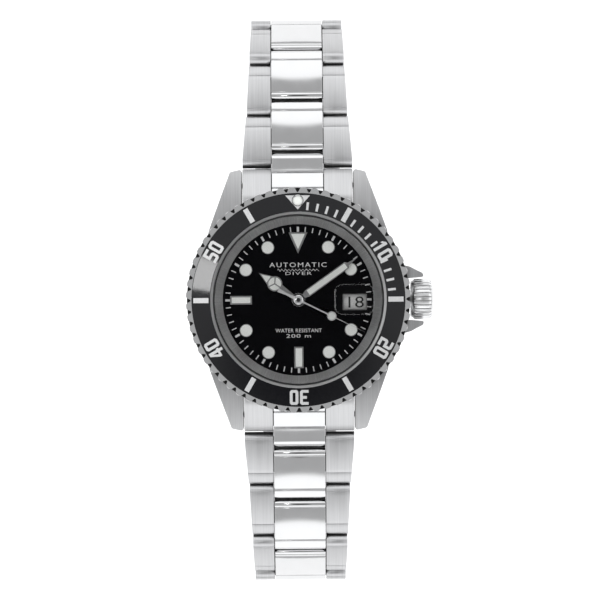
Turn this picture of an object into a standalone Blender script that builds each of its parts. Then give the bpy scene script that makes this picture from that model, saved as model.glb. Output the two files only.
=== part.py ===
"""Dive watch: a steel case with a turning bezel, a screw-down crown, an automatic movement, and a
closed link bracelet with a folding clasp. Metres, +Z up through the dial, +Y to 12 o'clock, +X to the
crown. The origin is the centre of the case back's flat outer face."""
import math

import bmesh
import bpy
from mathutils import Matrix

MM = 0.001

# ---- fits -------------------------------------------------------------------------------------
SEAT_GAP = 0.06 * MM        # between two pieces that rest on each other
TURN_GAP = 0.10 * MM        # round a piece that turns in another
SIDE_GAP = 0.15 * MM        # between a link's tongue and the arms beside it
PIN_GAP = 0.08 * MM         # radial, round a pin
WELD = 1e-7

# ---- movement: its radius sets the bore it drops into -------------------------------------------
PLATE_RADIUS = 14.2 * MM
PLATE_LOW = 4.15 * MM
PLATE_THICK = 2.25 * MM
PLATE_TOP = PLATE_LOW + PLATE_THICK
PLATE_GAP = 0.4 * MM        # all round, in the case
BRIDGE_LOW = 2.75 * MM
BRIDGE_THICK = 1.1 * MM
BRIDGE_INSET = 1.0 * MM
ROTOR_INSET = 1.3 * MM
ROTOR_LOW = 1.55 * MM
ROTOR_THICK = 0.8 * MM
ROTOR_POST = 0.75 * MM
ROTOR_RADIUS = PLATE_RADIUS - ROTOR_INSET
HUB_RADIUS = 2.2 * MM
WHEEL_INSET = 0.7 * MM      # from the plate's edge to the barrel and to the balance
WHEEL_ROOM = 1.3 * MM       # from the barrel in to the hub
BARREL_RADIUS = (PLATE_RADIUS - WHEEL_INSET - HUB_RADIUS - WHEEL_ROOM) / 2
BARREL_THICK = 1.1 * MM
BARREL_ANGLE = 137.0
BALANCE_RADIUS = BARREL_RADIUS - 0.5 * MM
BALANCE_ANGLE = 225.0
BALANCE_LOW = 3.1 * MM
BALANCE_THICK = 0.4 * MM
DATE_OUTER = PLATE_RADIUS - 1.8 * MM
DATE_WIDTH = 4.5 * MM
DATE_INNER = DATE_OUTER - DATE_WIDTH
DATE_THICK = 0.3 * MM
DATE_LOW = PLATE_TOP + 0.3 * MM

# ---- dial, inner ring and crystal -------------------------------------------------------------
DIAL_THICK = 0.4 * MM
DIAL_TOP = DATE_LOW + DATE_THICK + 0.2 * MM + DIAL_THICK
DIAL_SHELF = DIAL_TOP + SEAT_GAP            # floor of the crystal's bore
RING_INNER = 13.5 * MM
RING_WIDTH = 1.6 * MM
RING_TOP = DIAL_TOP + 1.9 * MM
CRYSTAL_THICK = 2.0 * MM
CRYSTAL_GASKET_WALL = 0.22 * MM
WINDOW = (DATE_INNER + 0.3 * MM, DATE_OUTER - 0.8 * MM, 1.3 * MM)     # from x, to x, half height
LENS = (7.0 * MM, 5.6 * MM, 0.6 * MM)       # magnifier over the date: along x, along y, thick
LENS_X = (WINDOW[0] + WINDOW[1]) / 2        # the magnifier is centred on the window

# ---- case -------------------------------------------------------------------------------------
MOVEMENT_BORE = PLATE_RADIUS + PLATE_GAP
DIAL_RADIUS = MOVEMENT_BORE - 0.3 * MM
NECK_BORE = RING_INNER + RING_WIDTH + TURN_GAP
NECK_WALL = 1.6 * MM
NECK_RADIUS = NECK_BORE + NECK_WALL
NECK_TOP = RING_TOP + 0.4 * MM
CRYSTAL_RADIUS = NECK_BORE - CRYSTAL_GASKET_WALL - 0.13 * MM
CASE_RADIUS = 19.3 * MM     # flank at 9 o'clock
CASE_LOW = 1.36 * MM
CASE_TOP = 8.0 * MM
BAY_WALL = 0.8 * MM
BAY_RADIUS = NECK_RADIUS + BAY_WALL         # case wall between the lugs
LUG_INNER = 10.05 * MM
LUG_TIP = 23.4 * MM
LUG_WIDTH = 2.25 * MM                       # at the tip
LUG_TIP_LOW = 0.5 * MM
LUG_TIP_TOP = 4.4 * MM
LUG_CURVE_START = 13.0 * MM
SHOULDER = (15.9 * MM, 12.4 * MM)           # where the lug leaves the flank

# ---- case back --------------------------------------------------------------------------------
BACK_FLOOR = 1.2 * MM
BACK_FLANGE = CASE_LOW - SEAT_GAP
BACK_NECK_TOP = 2.6 * MM
BACK_WALL = 1.2 * MM
BACK_BORE = MOVEMENT_BORE + 0.8 * MM
BACK_RADIUS = BACK_BORE + 1.1 * MM
GASKET_WIDTH = 0.5 * MM
GASKET_HEIGHT = 0.34 * MM
OPENER_NOTCHES = 6

# ---- bezel ------------------------------------------------------------------------------------
BEZEL_RADIUS = 20.0 * MM
BEZEL_TEETH = 60
TOOTH_DEPTH = 0.5 * MM
BEZEL_LOW = CASE_TOP + 0.3 * MM
BEZEL_RIM = 1.05 * MM
BEZEL_SHELF = 0.45 * MM                     # thickness under the insert, over the neck
BEZEL_FLOOR = NECK_TOP + TURN_GAP + BEZEL_SHELF
INSERT_DEPTH = 0.55 * MM
BEZEL_TOP = BEZEL_FLOOR + INSERT_DEPTH
INSERT_INNER = NECK_BORE + 0.45 * MM
BEZEL_LIP = INSERT_INNER + 0.1 * MM         # inner edge of the shelf
INSERT_RISE = 0.25 * MM                     # the insert stands higher at the crystal
PEARL_RADIUS = 0.92 * MM
PEARL_INSET = 2.4 * MM                      # from the bezel's outer edge to the pearl's centre
CLICK_WIDTH = 0.55 * MM

# ---- crown: it stands just clear of the bezel, between the guards --------------------------------
CROWN_HEIGHT = 4.8 * MM                     # axis above the case back
CROWN_RADIUS = 3.6 * MM
CROWN_LENGTH = 4.1 * MM
CROWN_START = BEZEL_RADIUS + TURN_GAP
CROWN_END = CROWN_START + CROWN_LENGTH
CROWN_POCKET = CASE_RADIUS + 0.3 * MM       # flat wall behind the crown
CROWN_FLUTES = 30
FLUTE_DEPTH = 0.22 * MM
GUARD_REACH = CROWN_START + 2.2 * MM
GUARD_TIP = CROWN_RADIUS + 0.65 * MM
GUARD_ROOT = GUARD_TIP + 1.95 * MM
TUBE_RADIUS = 1.2 * MM
TUBE_WALL = 0.45 * MM
TUBE_START = MOVEMENT_BORE + 0.1 * MM
TUBE_END = CROWN_START + 1.8 * MM
STEM_RADIUS = 0.5 * MM
STEM_START = 6.4 * MM
CROWN_CAP = 0.9 * MM                        # metal beyond the crown's bore

# ---- hands: reach from the centre, and the clock angle they stand at ---------------------------
HAND_THICK = 0.16 * MM
HAND_GAP = 0.21 * MM
HOUR_REACH = 8.45 * MM
HOUR_ANGLE = 304.6
HOUR_DISC_AT = 5.3 * MM
HOUR_DISC = 1.4 * MM
HOUR_LOW = DIAL_TOP + 0.35 * MM
MINUTE_REACH = 13.1 * MM
MINUTE_ANGLE = 54.7
MINUTE_WIDTH = 1.35 * MM
MINUTE_POINT = 2.2 * MM
MINUTE_SHOULDER = 4.2 * MM
MINUTE_LOW = HOUR_LOW + HAND_THICK + HAND_GAP
SECONDS_REACH = 13.4 * MM
SECONDS_ANGLE = 116.3
SECONDS_DISC_AT = 6.6 * MM
SECONDS_DISC = 0.82 * MM
SECONDS_TAIL = 4.0 * MM
SECONDS_HUB = 0.85 * MM
SECONDS_LOW = MINUTE_LOW + HAND_THICK + HAND_GAP
PIPE = 0.95 * MM            # outer radius of the hour hand's pipe
PIPE_WALL = 0.2 * MM
PIPE_LOW = PLATE_TOP + 0.3 * MM

# ---- bracelet ---------------------------------------------------------------------------------
FIRST_PIN = (LUG_TIP + 1.7 * MM, 3.6 * MM)  # y and z of the pin in the end link's tongue
LINK_PITCH = 9.65 * MM
LINK_THICK = 2.8 * MM
ROUND_END = LINK_THICK / 2
LINK_GAP = 0.2 * MM                         # between one link's end and the next link's side
LINK_TILTS = (13.0, 14.0, 49.0, 112.0, 155.0, 175.0, 180.0)
LINKS_12 = 7
LINKS_6 = 6
END_LINK_HALF = LUG_INNER - 0.2 * MM
TAPER = (0.0, 0.8, 1.3, 1.55, 1.75, 1.85, 1.85, 1.85)
HALF_WIDTHS = tuple(END_LINK_HALF - step * MM for step in TAPER)
TONGUE_HALF = 4.6 * MM
ARM_INNER = TONGUE_HALF + SIDE_GAP
PIN_RADIUS = 0.6 * MM
PIN_INSET = 0.9 * MM                        # the pin ends this far inside the link's sides
PIN_SIDES = 12
HINGE_HOLE = PIN_RADIUS + PIN_GAP
SPRING_BAR = (LUG_TIP - 2.8 * MM, 3.2 * MM)     # y and z of the bar between the lugs
BAR_RADIUS = 0.62 * MM
BAR_TIP = 0.4 * MM
LUG_HOLE_DEPTH = 1.4 * MM
END_LINK_TOP = CASE_TOP - 0.4 * MM
END_LINK_LOW = 1.9 * MM

# ---- clasp ------------------------------------------------------------------------------------
COVER_PLATE = 0.7 * MM
COVER_WALL = 0.7 * MM
COVER_HALF = HALF_WIDTHS[-1]
COVER_WALL_RISE = 2.1 * MM                  # wall above the plate
COVER_END = 1.4 * MM                        # cover beyond its blade's pin
BLADE_THICK = 1.2 * MM
BLADE_GAP = 0.3 * MM
BLADE_HALF = COVER_HALF - COVER_WALL - 0.4 * MM
INNER_BLADE_HALF = 3.2 * MM
PIN_COVERED = 1.2 * MM      # blade left outside each end of the pin that joins the blades
COVER_PIN_INSET = 5.7 * MM                  # from the last link's pin to the cover's pin
FOLD_PIN_INSET = 6.6 * MM                   # from the cover's spring bar to the blades' pin
CLASP_PIN_RADIUS = 0.38 * MM
CLASP_HOLE = CLASP_PIN_RADIUS + PIN_GAP
CATCH_HALF = 4.2 * MM
CATCH_THICK = 0.6 * MM
CATCH_PIN_INSET = 7.5 * MM                  # from the cover's pin to the catch's pin
CATCH_REACH = 9.6 * MM
KNUCKLE_WIDTH = 1.2 * MM
KNUCKLE_RADIUS = 0.7 * MM

# ---- finishes: colour, roughness, metallic ----------------------------------------------------
BRUSHED = ((0.55, 0.56, 0.57), 0.34, 1.0)
POLISHED = ((0.66, 0.67, 0.68), 0.12, 1.0)
BRASS = ((0.70, 0.55, 0.28), 0.30, 1.0)
RHODIUM = ((0.62, 0.62, 0.64), 0.25, 1.0)
SPRING_STEEL = ((0.40, 0.41, 0.43), 0.30, 1.0)
CERAMIC = ((0.012, 0.012, 0.014), 0.12, 0.0)
ENAMEL = ((0.008, 0.008, 0.010), 0.20, 0.0)
SAPPHIRE = ((0.92, 0.95, 0.96), 0.02, 0.0)
LUME = ((0.80, 0.86, 0.76), 0.55, 0.0)
WHITE = ((0.82, 0.82, 0.80), 0.45, 0.0)
RUBBER = ((0.02, 0.02, 0.02), 0.75, 0.0)
NYLON = ((0.70, 0.70, 0.68), 0.40, 0.0)


# ---- helpers ----------------------------------------------------------------------------------
def new_collection(name):
    collection = bpy.data.collections.new(name)
    bpy.context.scene.collection.children.link(collection)
    return collection


def add_piece(name, mesh, finish):
    """A named object in the watch's collection, with its own material."""
    piece = bpy.data.objects.new(name, mesh)
    parts.objects.link(piece)
    color, roughness, metallic = finish
    material = bpy.data.materials.new(name)
    material.use_nodes = True
    surface = material.node_tree.nodes["Principled BSDF"]
    surface.inputs["Base Color"].default_value = (*color, 1.0)
    surface.inputs["Roughness"].default_value = roughness
    surface.inputs["Metallic"].default_value = metallic
    mesh.materials.append(material)
    return piece


def turned(name, profile, steps, finish):
    """(radius, height) points spun about Z: down the outer side, and back up the bore of a ring."""
    mesh = bpy.data.meshes.new(name)
    edges = [(i, i + 1) for i in range(len(profile) - 1)]
    if profile[0][0] > 0:
        edges.append((len(profile) - 1, 0))
    mesh.from_pydata([(radius, 0.0, height) for radius, height in profile], edges, [])
    piece = add_piece(name, mesh, finish)
    screw = piece.modifiers.new("Turn", "SCREW")
    screw.steps = steps
    screw.render_steps = steps
    screw.use_merge_vertices = True
    screw.merge_threshold = WELD
    return piece


def plate(name, outlines, low, high, finish):
    """The first outline, less the others, in the XY plane, from height low to height high."""
    curve = bpy.data.curves.new(name, "CURVE")
    curve.dimensions = "2D"
    curve.fill_mode = "BOTH"
    curve.extrude = (high - low) / 2 / MM
    for outline in outlines:
        spline = curve.splines.new("POLY")
        spline.points.add(len(outline) - 1)
        for point, (x, y) in zip(spline.points, outline):
            point.co = (x / MM, y / MM, 0.0, 1.0)
        spline.use_cyclic_u = True
    guide = bpy.data.objects.new(name + "_guide", curve)
    bpy.context.scene.collection.objects.link(guide)
    depsgraph = bpy.context.evaluated_depsgraph_get()
    mesh = bpy.data.meshes.new_from_object(guide.evaluated_get(depsgraph))
    mesh.transform(Matrix.Translation((0.0, 0.0, (low + high) / 2)) @ Matrix.Scale(MM, 4))
    bpy.data.objects.remove(guide)
    shape = bmesh.new()
    shape.from_mesh(mesh)
    bmesh.ops.remove_doubles(shape, verts=shape.verts, dist=WELD)
    bmesh.ops.recalc_face_normals(shape, faces=shape.faces)
    shape.to_mesh(mesh)
    shape.free()
    mesh.name = name
    return add_piece(name, mesh, finish)


def side_plate(name, outlines, low, high, finish):
    """As plate, with outlines of (y, z) points and the thickness along X."""
    piece = plate(name, outlines, low, high, finish)
    piece.data.transform(Matrix(((0, 0, 1, 0), (1, 0, 0, 0), (0, 1, 0, 0), (0, 0, 0, 1))))
    return piece


def box(name, low, high, finish):
    (x0, y0, z0), (x1, y1, z1) = low, high
    return plate(name, [[(x0, y0), (x1, y0), (x1, y1), (x0, y1)]], z0, z1, finish)


def rod(name, x0, x1, y, z, radius, steps, finish):
    """A round bar along X."""
    return side_plate(name, [circle(y, z, radius, steps)], x0, x1, finish)


def arc(x, y, radius, start, end, steps):
    """Points on a circle from angle start to angle end, in degrees."""
    angles = [math.radians(start + (end - start) * i / steps) for i in range(steps + 1)]
    return [(x + radius * math.cos(a), y + radius * math.sin(a)) for a in angles]


def circle(x, y, radius, steps):
    return arc(x, y, radius, 0, 360, steps)[:-1]


def boolean(piece, other, operation):
    """Cut or join a piece with another, which becomes a cutter."""
    parts.objects.unlink(other)
    cutters.objects.link(other)
    other.hide_render = True
    other.display_type = "WIRE"
    modifier = piece.modifiers.new(other.name, "BOOLEAN")
    modifier.operation = operation
    modifier.solver = "EXACT"
    modifier.object = other


def cut(piece, other):
    boolean(piece, other, "DIFFERENCE")


def join(piece, other):
    boolean(piece, other, "UNION")


def bake(piece):
    """Keep the result of a piece's modifiers as its mesh, and drop its cutters."""
    bpy.context.view_layer.update()
    depsgraph = bpy.context.evaluated_depsgraph_get()
    mesh = bpy.data.meshes.new_from_object(piece.evaluated_get(depsgraph))
    for modifier in list(piece.modifiers):
        if modifier.type == "BOOLEAN":
            bpy.data.objects.remove(modifier.object)
        piece.modifiers.remove(modifier)
    piece.data = mesh
    mesh.name = piece.name
    return piece


def set_origin(piece, x, y, z):
    """Move an unturned piece's origin to a point on its joint's axis."""
    piece.data.transform(Matrix.Translation((-x, -y, -z)))
    piece.location = (x, y, z)


def move(piece, x, y, z):
    piece.location = (x, y, z)
    return piece


# ---- case -------------------------------------------------------------------------------------
def case_quarter(crown_side):
    """The outline from the 3 (or 9) o'clock line round one lug to the 12 o'clock line."""
    start, end = 0.0, 25.0
    guard = []
    if crown_side:
        start = math.degrees(math.asin(GUARD_ROOT / CASE_RADIUS))
        guard = [(CROWN_POCKET, 0.0), (CROWN_POCKET, CROWN_RADIUS + TURN_GAP),
                 (GUARD_REACH - 0.4 * MM, CROWN_RADIUS + 3 * TURN_GAP), (GUARD_REACH, GUARD_TIP),
                 (GUARD_REACH - 0.7 * MM, GUARD_TIP + 0.65 * MM),
                 (GUARD_REACH - 2.3 * MM, GUARD_ROOT - 0.6 * MM)]
    flank = arc(0, 0, CASE_RADIUS, start, end, 3)
    outer = LUG_INNER + LUG_WIDTH
    lug = [SHOULDER, (outer, LUG_TIP - 0.8 * MM), (outer - 0.6 * MM, LUG_TIP - 0.35 * MM)]
    tip = [(LUG_INNER + 0.3 * MM, LUG_TIP), (LUG_INNER, LUG_TIP - 0.3 * MM)]
    bay = arc(0, 0, BAY_RADIUS, math.degrees(math.acos(LUG_INNER / BAY_RADIUS)), 90, 5)
    return guard + flank + lug + tip + bay


def case_outline():
    crown = case_quarter(True)
    plain = case_quarter(False)
    top = crown + [(-x, y) for x, y in reversed(plain[:-1])]
    return top + [(x, -y) for x, y in reversed(top[1:-1])]


def case_side():
    """Side view: flat over the middle, with the lugs curving down at both ends."""
    drop = CASE_TOP - LUG_TIP_TOP
    reach = LUG_TIP + 0.5 * MM - LUG_CURVE_START
    top = [(LUG_CURVE_START + reach * t, CASE_TOP - drop * t ** 1.8) for t in (0.0, 0.25, 0.5, 0.75, 1.0)]
    under = [(LUG_TIP - 0.2 * MM, LUG_TIP_LOW), (LUG_TIP - 2.4 * MM, LUG_TIP_LOW), (BAY_RADIUS, CASE_LOW)]
    half = top + under
    return half + [(-y, z) for y, z in reversed(half)]


def make_mid_case():
    case = plate("mid_case", [case_outline()], CASE_LOW - 2 * MM, CASE_TOP + MM, BRUSHED)
    side = side_plate("case_side", [case_side()], -GUARD_REACH - MM, GUARD_REACH + MM, BRUSHED)
    boolean(case, side, "INTERSECT")
    join(case, turned("neck", [(0, NECK_TOP), (NECK_RADIUS, NECK_TOP), (NECK_RADIUS, 5 * MM),
                               (0, 5 * MM)], 48, BRUSHED))
    cut(case, turned("bores", [(0, NECK_TOP + MM), (NECK_BORE, NECK_TOP + MM), (NECK_BORE, DIAL_SHELF),
                               (MOVEMENT_BORE, DIAL_SHELF), (MOVEMENT_BORE, BACK_NECK_TOP + 0.2 * MM),
                               (BACK_BORE, BACK_NECK_TOP + 0.2 * MM), (BACK_BORE, CASE_LOW - MM),
                               (0, CASE_LOW - MM)], 48, BRUSHED))
    cut(case, rod("tube_bore", TUBE_START - MM, GUARD_REACH, 0, CROWN_HEIGHT, TUBE_RADIUS + SEAT_GAP, 16,
                  BRUSHED))
    reach = LUG_INNER + LUG_HOLE_DEPTH
    for side in (1, -1):
        cut(case, rod("lug_holes", -reach, reach, side * SPRING_BAR[0], SPRING_BAR[1],
                      BAR_TIP + PIN_GAP, PIN_SIDES, BRUSHED))
    return bake(case)


def make_case_back():
    groove = BACK_RADIUS - 0.45 * MM
    inner = groove - GASKET_WIDTH - 2 * SEAT_GAP
    depth = BACK_FLANGE - GASKET_HEIGHT - SEAT_GAP
    neck = BACK_BORE - 0.2 * MM
    back = turned("case_back", [
        (0, BACK_FLOOR), (neck - BACK_WALL, BACK_FLOOR), (neck - BACK_WALL, BACK_NECK_TOP),
        (neck, BACK_NECK_TOP), (neck, BACK_FLANGE), (inner, BACK_FLANGE), (inner, depth),
        (groove, depth), (groove, BACK_FLANGE), (BACK_RADIUS, BACK_FLANGE),
        (BACK_RADIUS, 0.5 * MM), (BACK_RADIUS - 0.5 * MM, 0), (0, 0)], 48, BRUSHED)
    notch = MM
    for i in range(OPENER_NOTCHES):
        cutter = box("opener_notch", (BACK_RADIUS - notch, -notch, -notch),
                     (BACK_RADIUS + notch, notch, 0.4 * MM), BRUSHED)
        cutter.rotation_euler.z = math.tau * (i + 0.5) / OPENER_NOTCHES
        cut(back, cutter)
    bake(back)
    outer = groove - SEAT_GAP
    low = depth + SEAT_GAP / 2
    turned("case_back_gasket", [(outer, low + GASKET_HEIGHT), (outer, low),
                                (outer - GASKET_WIDTH, low), (outer - GASKET_WIDTH, low + GASKET_HEIGHT)],
           32, RUBBER)


def make_crystal():
    low = RING_TOP + SEAT_GAP
    top = low + CRYSTAL_THICK
    turned("crystal", [(0, top), (CRYSTAL_RADIUS - 0.4 * MM, top), (CRYSTAL_RADIUS, top - 0.35 * MM),
                       (CRYSTAL_RADIUS, low), (0, low)], 48, SAPPHIRE)
    outer = CRYSTAL_RADIUS + SEAT_GAP + CRYSTAL_GASKET_WALL
    gasket_top = NECK_TOP + 0.2 * MM
    turned("crystal_gasket", [(outer, gasket_top), (outer, low), (outer - CRYSTAL_GASKET_WALL, low),
                              (outer - CRYSTAL_GASKET_WALL, gasket_top)], 32, NYLON)
    length, width, thick = LENS
    corner = 1.5 * MM
    outline = []
    for x, y, start in ((1, 1, 0), (-1, 1, 90), (-1, -1, 180), (1, -1, 270)):
        outline += arc(LENS_X + x * (length / 2 - corner), y * (width / 2 - corner), corner,
                       start, start + 90, 4)
    plate("cyclops_lens", [outline], top + SEAT_GAP, top + SEAT_GAP + thick, SAPPHIRE)


def make_dial():
    outer = RING_INNER + RING_WIDTH
    turned("inner_ring", [(outer, RING_TOP), (outer, DIAL_SHELF + SEAT_GAP),
                          (RING_INNER, DIAL_SHELF + SEAT_GAP), (RING_INNER, DIAL_TOP + 0.3 * MM),
                          (outer - 0.3 * MM, RING_TOP)], 48, BRUSHED)
    x0, x1, half = WINDOW
    window = [(x0, -half), (x1, -half), (x1, half), (x0, half)]
    plate("dial", [circle(0, 0, DIAL_RADIUS, 48), circle(0, 0, PIPE + TURN_GAP, 16), window],
          DIAL_TOP - DIAL_THICK, DIAL_TOP, ENAMEL)


# ---- bezel ------------------------------------------------------------------------------------
def bezel_outline():
    """A coin edge: flat-topped teeth with a narrow notch between them."""
    points = []
    for i in range(BEZEL_TEETH):
        middle = 360.0 * i / BEZEL_TEETH
        notch = 180.0 / BEZEL_TEETH
        points += arc(0, 0, BEZEL_RADIUS, middle - 0.62 * notch, middle + 0.62 * notch, 1)
        points += arc(0, 0, BEZEL_RADIUS - TOOTH_DEPTH, middle + notch, middle + notch, 1)[:1]
    return points


def make_bezel():
    bezel = plate("rotating_bezel", [bezel_outline(), circle(0, 0, BEZEL_LIP, 48)], BEZEL_LOW, BEZEL_TOP,
                  POLISHED)
    recess = BEZEL_RADIUS - BEZEL_RIM
    bore = NECK_RADIUS + TURN_GAP
    cut(bezel, turned("neck_room", [(0, NECK_TOP + TURN_GAP), (bore, NECK_TOP + TURN_GAP),
                                    (bore, BEZEL_LOW - MM), (0, BEZEL_LOW - MM)], 48, POLISHED))
    cut(bezel, turned("insert_room", [(0, BEZEL_TOP + MM), (recess, BEZEL_TOP + MM),
                                      (recess, BEZEL_FLOOR), (0, BEZEL_FLOOR)], 48, POLISHED))
    bake(bezel)
    outer = recess - SEAT_GAP
    low = BEZEL_FLOOR + SEAT_GAP
    rim = BEZEL_TOP - 0.1 * MM
    insert = turned("bezel_insert", [(outer, rim), (outer, low), (INSERT_INNER, low),
                                     (INSERT_INNER, rim + INSERT_RISE)], 60, CERAMIC)
    pearl_at = BEZEL_RADIUS - PEARL_INSET
    pit = circle(0, pearl_at, PEARL_RADIUS + SEAT_GAP, 16)
    cut(insert, plate("pearl_pit", [pit], low + 0.12 * MM, BEZEL_TOP + MM, CERAMIC))
    bake(insert)
    seat = low + 0.12 * MM + SEAT_GAP
    pearl = turned("bezel_pearl", [(0, BEZEL_TOP + 0.2 * MM), (PEARL_RADIUS * 0.7, BEZEL_TOP + 0.1 * MM),
                                   (PEARL_RADIUS, BEZEL_TOP - 0.1 * MM), (PEARL_RADIUS, seat),
                                   (0, seat)], 16, LUME)
    bake(pearl).data.transform(Matrix.Translation((0.0, pearl_at, 0.0)))
    inner = NECK_RADIUS + TURN_GAP
    plate("bezel_click_spring", [circle(0, 0, inner + CLICK_WIDTH, 32), circle(0, 0, inner, 32)],
          CASE_TOP + SEAT_GAP, BEZEL_LOW - TURN_GAP, SPRING_STEEL)


# ---- crown ------------------------------------------------------------------------------------
def turned_along_x(name, profile, steps, finish, height):
    """A turned piece whose axis is the world's X, at a height above the case back."""
    piece = bake(turned(name, profile, steps, finish))
    piece.data.transform(Matrix.Rotation(math.pi / 2, 4, "Y"))
    return move(piece, 0.0, 0.0, height)


def make_crown():
    bore = TUBE_RADIUS + TURN_GAP
    tube_room = TUBE_END + 2 * TURN_GAP
    stem_room = STEM_RADIUS + SEAT_GAP
    bore_end = CROWN_END - CROWN_CAP
    crown = turned_along_x("crown", [
        (0, CROWN_END), (CROWN_RADIUS - 0.9 * MM, CROWN_END - 0.1 * MM),
        (CROWN_RADIUS - 0.3 * MM, CROWN_END - 0.4 * MM), (CROWN_RADIUS, CROWN_END - 0.6 * MM),
        (CROWN_RADIUS, CROWN_START + 0.7 * MM), (CROWN_RADIUS - 0.5 * MM, CROWN_START),
        (bore, CROWN_START), (bore, tube_room), (stem_room, tube_room), (stem_room, bore_end),
        (0, bore_end)], 2 * CROWN_FLUTES, POLISHED, CROWN_HEIGHT)
    for vertex in crown.data.vertices:
        x, y, z = vertex.co
        radius = math.hypot(y, z)
        turn = round(math.atan2(z, y) / math.tau * 2 * CROWN_FLUTES)
        if turn % 2 and radius > CROWN_RADIUS - 0.1 * MM:
            shrink = 1.0 - FLUTE_DEPTH / radius
            vertex.co = (x, y * shrink, z * shrink)
    end = bore_end - SEAT_GAP
    turned_along_x("winding_stem", [(0, end), (STEM_RADIUS, end), (STEM_RADIUS, STEM_START), (0, STEM_START)],
                   PIN_SIDES, SPRING_STEEL, CROWN_HEIGHT)
    turned_along_x("crown_tube", [(TUBE_RADIUS, TUBE_END), (TUBE_RADIUS, TUBE_START),
                                  (TUBE_RADIUS - TUBE_WALL, TUBE_START),
                                  (TUBE_RADIUS - TUBE_WALL, TUBE_END)], 16, BRUSHED, CROWN_HEIGHT)


# ---- movement ---------------------------------------------------------------------------------
def wheel_place(radius, angle):
    """Centre of a wheel that reaches almost to the main plate's edge."""
    return arc(0, 0, PLATE_RADIUS - WHEEL_INSET - radius, angle, angle, 1)[0]


def make_movement():
    main = plate("main_plate", [circle(0, 0, PLATE_RADIUS, 40)], PLATE_LOW, PLATE_TOP, BRASS)
    room = STEM_RADIUS + 2 * TURN_GAP
    cut(main, box("stem_slot", (STEM_START - 0.4 * MM, -room, PLATE_LOW - MM),
                  (PLATE_RADIUS + MM, room, CROWN_HEIGHT + room), BRASS))
    bake(main)
    half = arc(0, 0, PLATE_RADIUS - BRIDGE_INSET, -90, 90, 16)
    bridge = plate("movement_bridge", [half + arc(0, 0, HUB_RADIUS, 90, 270, 8)], BRIDGE_LOW,
                   BRIDGE_LOW + BRIDGE_THICK, RHODIUM)
    post = circle(0, 0, ROTOR_POST, PIN_SIDES)
    join(bridge, plate("rotor_post", [post], BACK_FLOOR + 2 * TURN_GAP, BRIDGE_LOW + 0.3 * MM, RHODIUM))
    bake(bridge)
    x, y = wheel_place(BARREL_RADIUS, BARREL_ANGLE)
    top = PLATE_LOW - SEAT_GAP
    plate("mainspring_barrel", [circle(x, y, BARREL_RADIUS, 28)], top - BARREL_THICK, top, BRASS)
    make_rotor()
    make_balance()
    plate("date_disc", [circle(0, 0, DATE_OUTER, 31), circle(0, 0, DATE_INNER, 31)], DATE_LOW,
          DATE_LOW + DATE_THICK, WHITE)


def make_rotor():
    """A half-disc weight with a lightening slot, running on the bridge's post."""
    outline = arc(0, 0, ROTOR_RADIUS, 180, 360, 18) + arc(0, 0, HUB_RADIUS, 0, 180, 8)
    rim, bar = ROTOR_RADIUS - 3.7 * MM, HUB_RADIUS + 2.4 * MM
    slot = arc(0, 0, rim, 205, 335, 8) + arc(0, 0, bar, 335, 205, 8)
    plate("rotor", [outline, circle(0, 0, ROTOR_POST + TURN_GAP, PIN_SIDES), slot], ROTOR_LOW,
          ROTOR_LOW + ROTOR_THICK, RHODIUM)


def make_balance():
    x, y = wheel_place(BALANCE_RADIUS, BALANCE_ANGLE)
    inner = BALANCE_RADIUS - 0.6 * MM
    arm = 0.35 * MM
    half_angle = math.degrees(math.asin(arm / inner))
    openings = [arc(0, 0, inner, half_angle, 180 - half_angle, 10),
                arc(0, 0, inner, 180 + half_angle, 360 - half_angle, 10)]
    wheel = plate("balance_wheel", [circle(0, 0, BALANCE_RADIUS, 24)] + openings, BALANCE_LOW,
                  BALANCE_LOW + BALANCE_THICK, BRASS)
    join(wheel, plate("balance_staff", [circle(0, 0, 0.3 * MM, 8)], BALANCE_LOW - 0.3 * MM,
                      PLATE_LOW - SEAT_GAP, SPRING_STEEL))
    move(bake(wheel), x, y, 0.0)


# ---- hands ------------------------------------------------------------------------------------
def hand(name, outline, low, pipe_outer, pipe_inner, angle):
    """A flat hand on its pipe, pointing to a clock angle in degrees."""
    bore = [circle(0, 0, pipe_inner, PIN_SIDES)] if pipe_inner else []
    piece = plate(name, [outline] + bore, low, low + HAND_THICK, POLISHED)
    join(piece, plate(name + "_pipe", [circle(0, 0, pipe_outer, 16)] + bore, PIPE_LOW, low + HAND_THICK / 2,
                      POLISHED))
    bake(piece)
    piece.rotation_euler.z = -math.radians(angle)
    return piece


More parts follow.
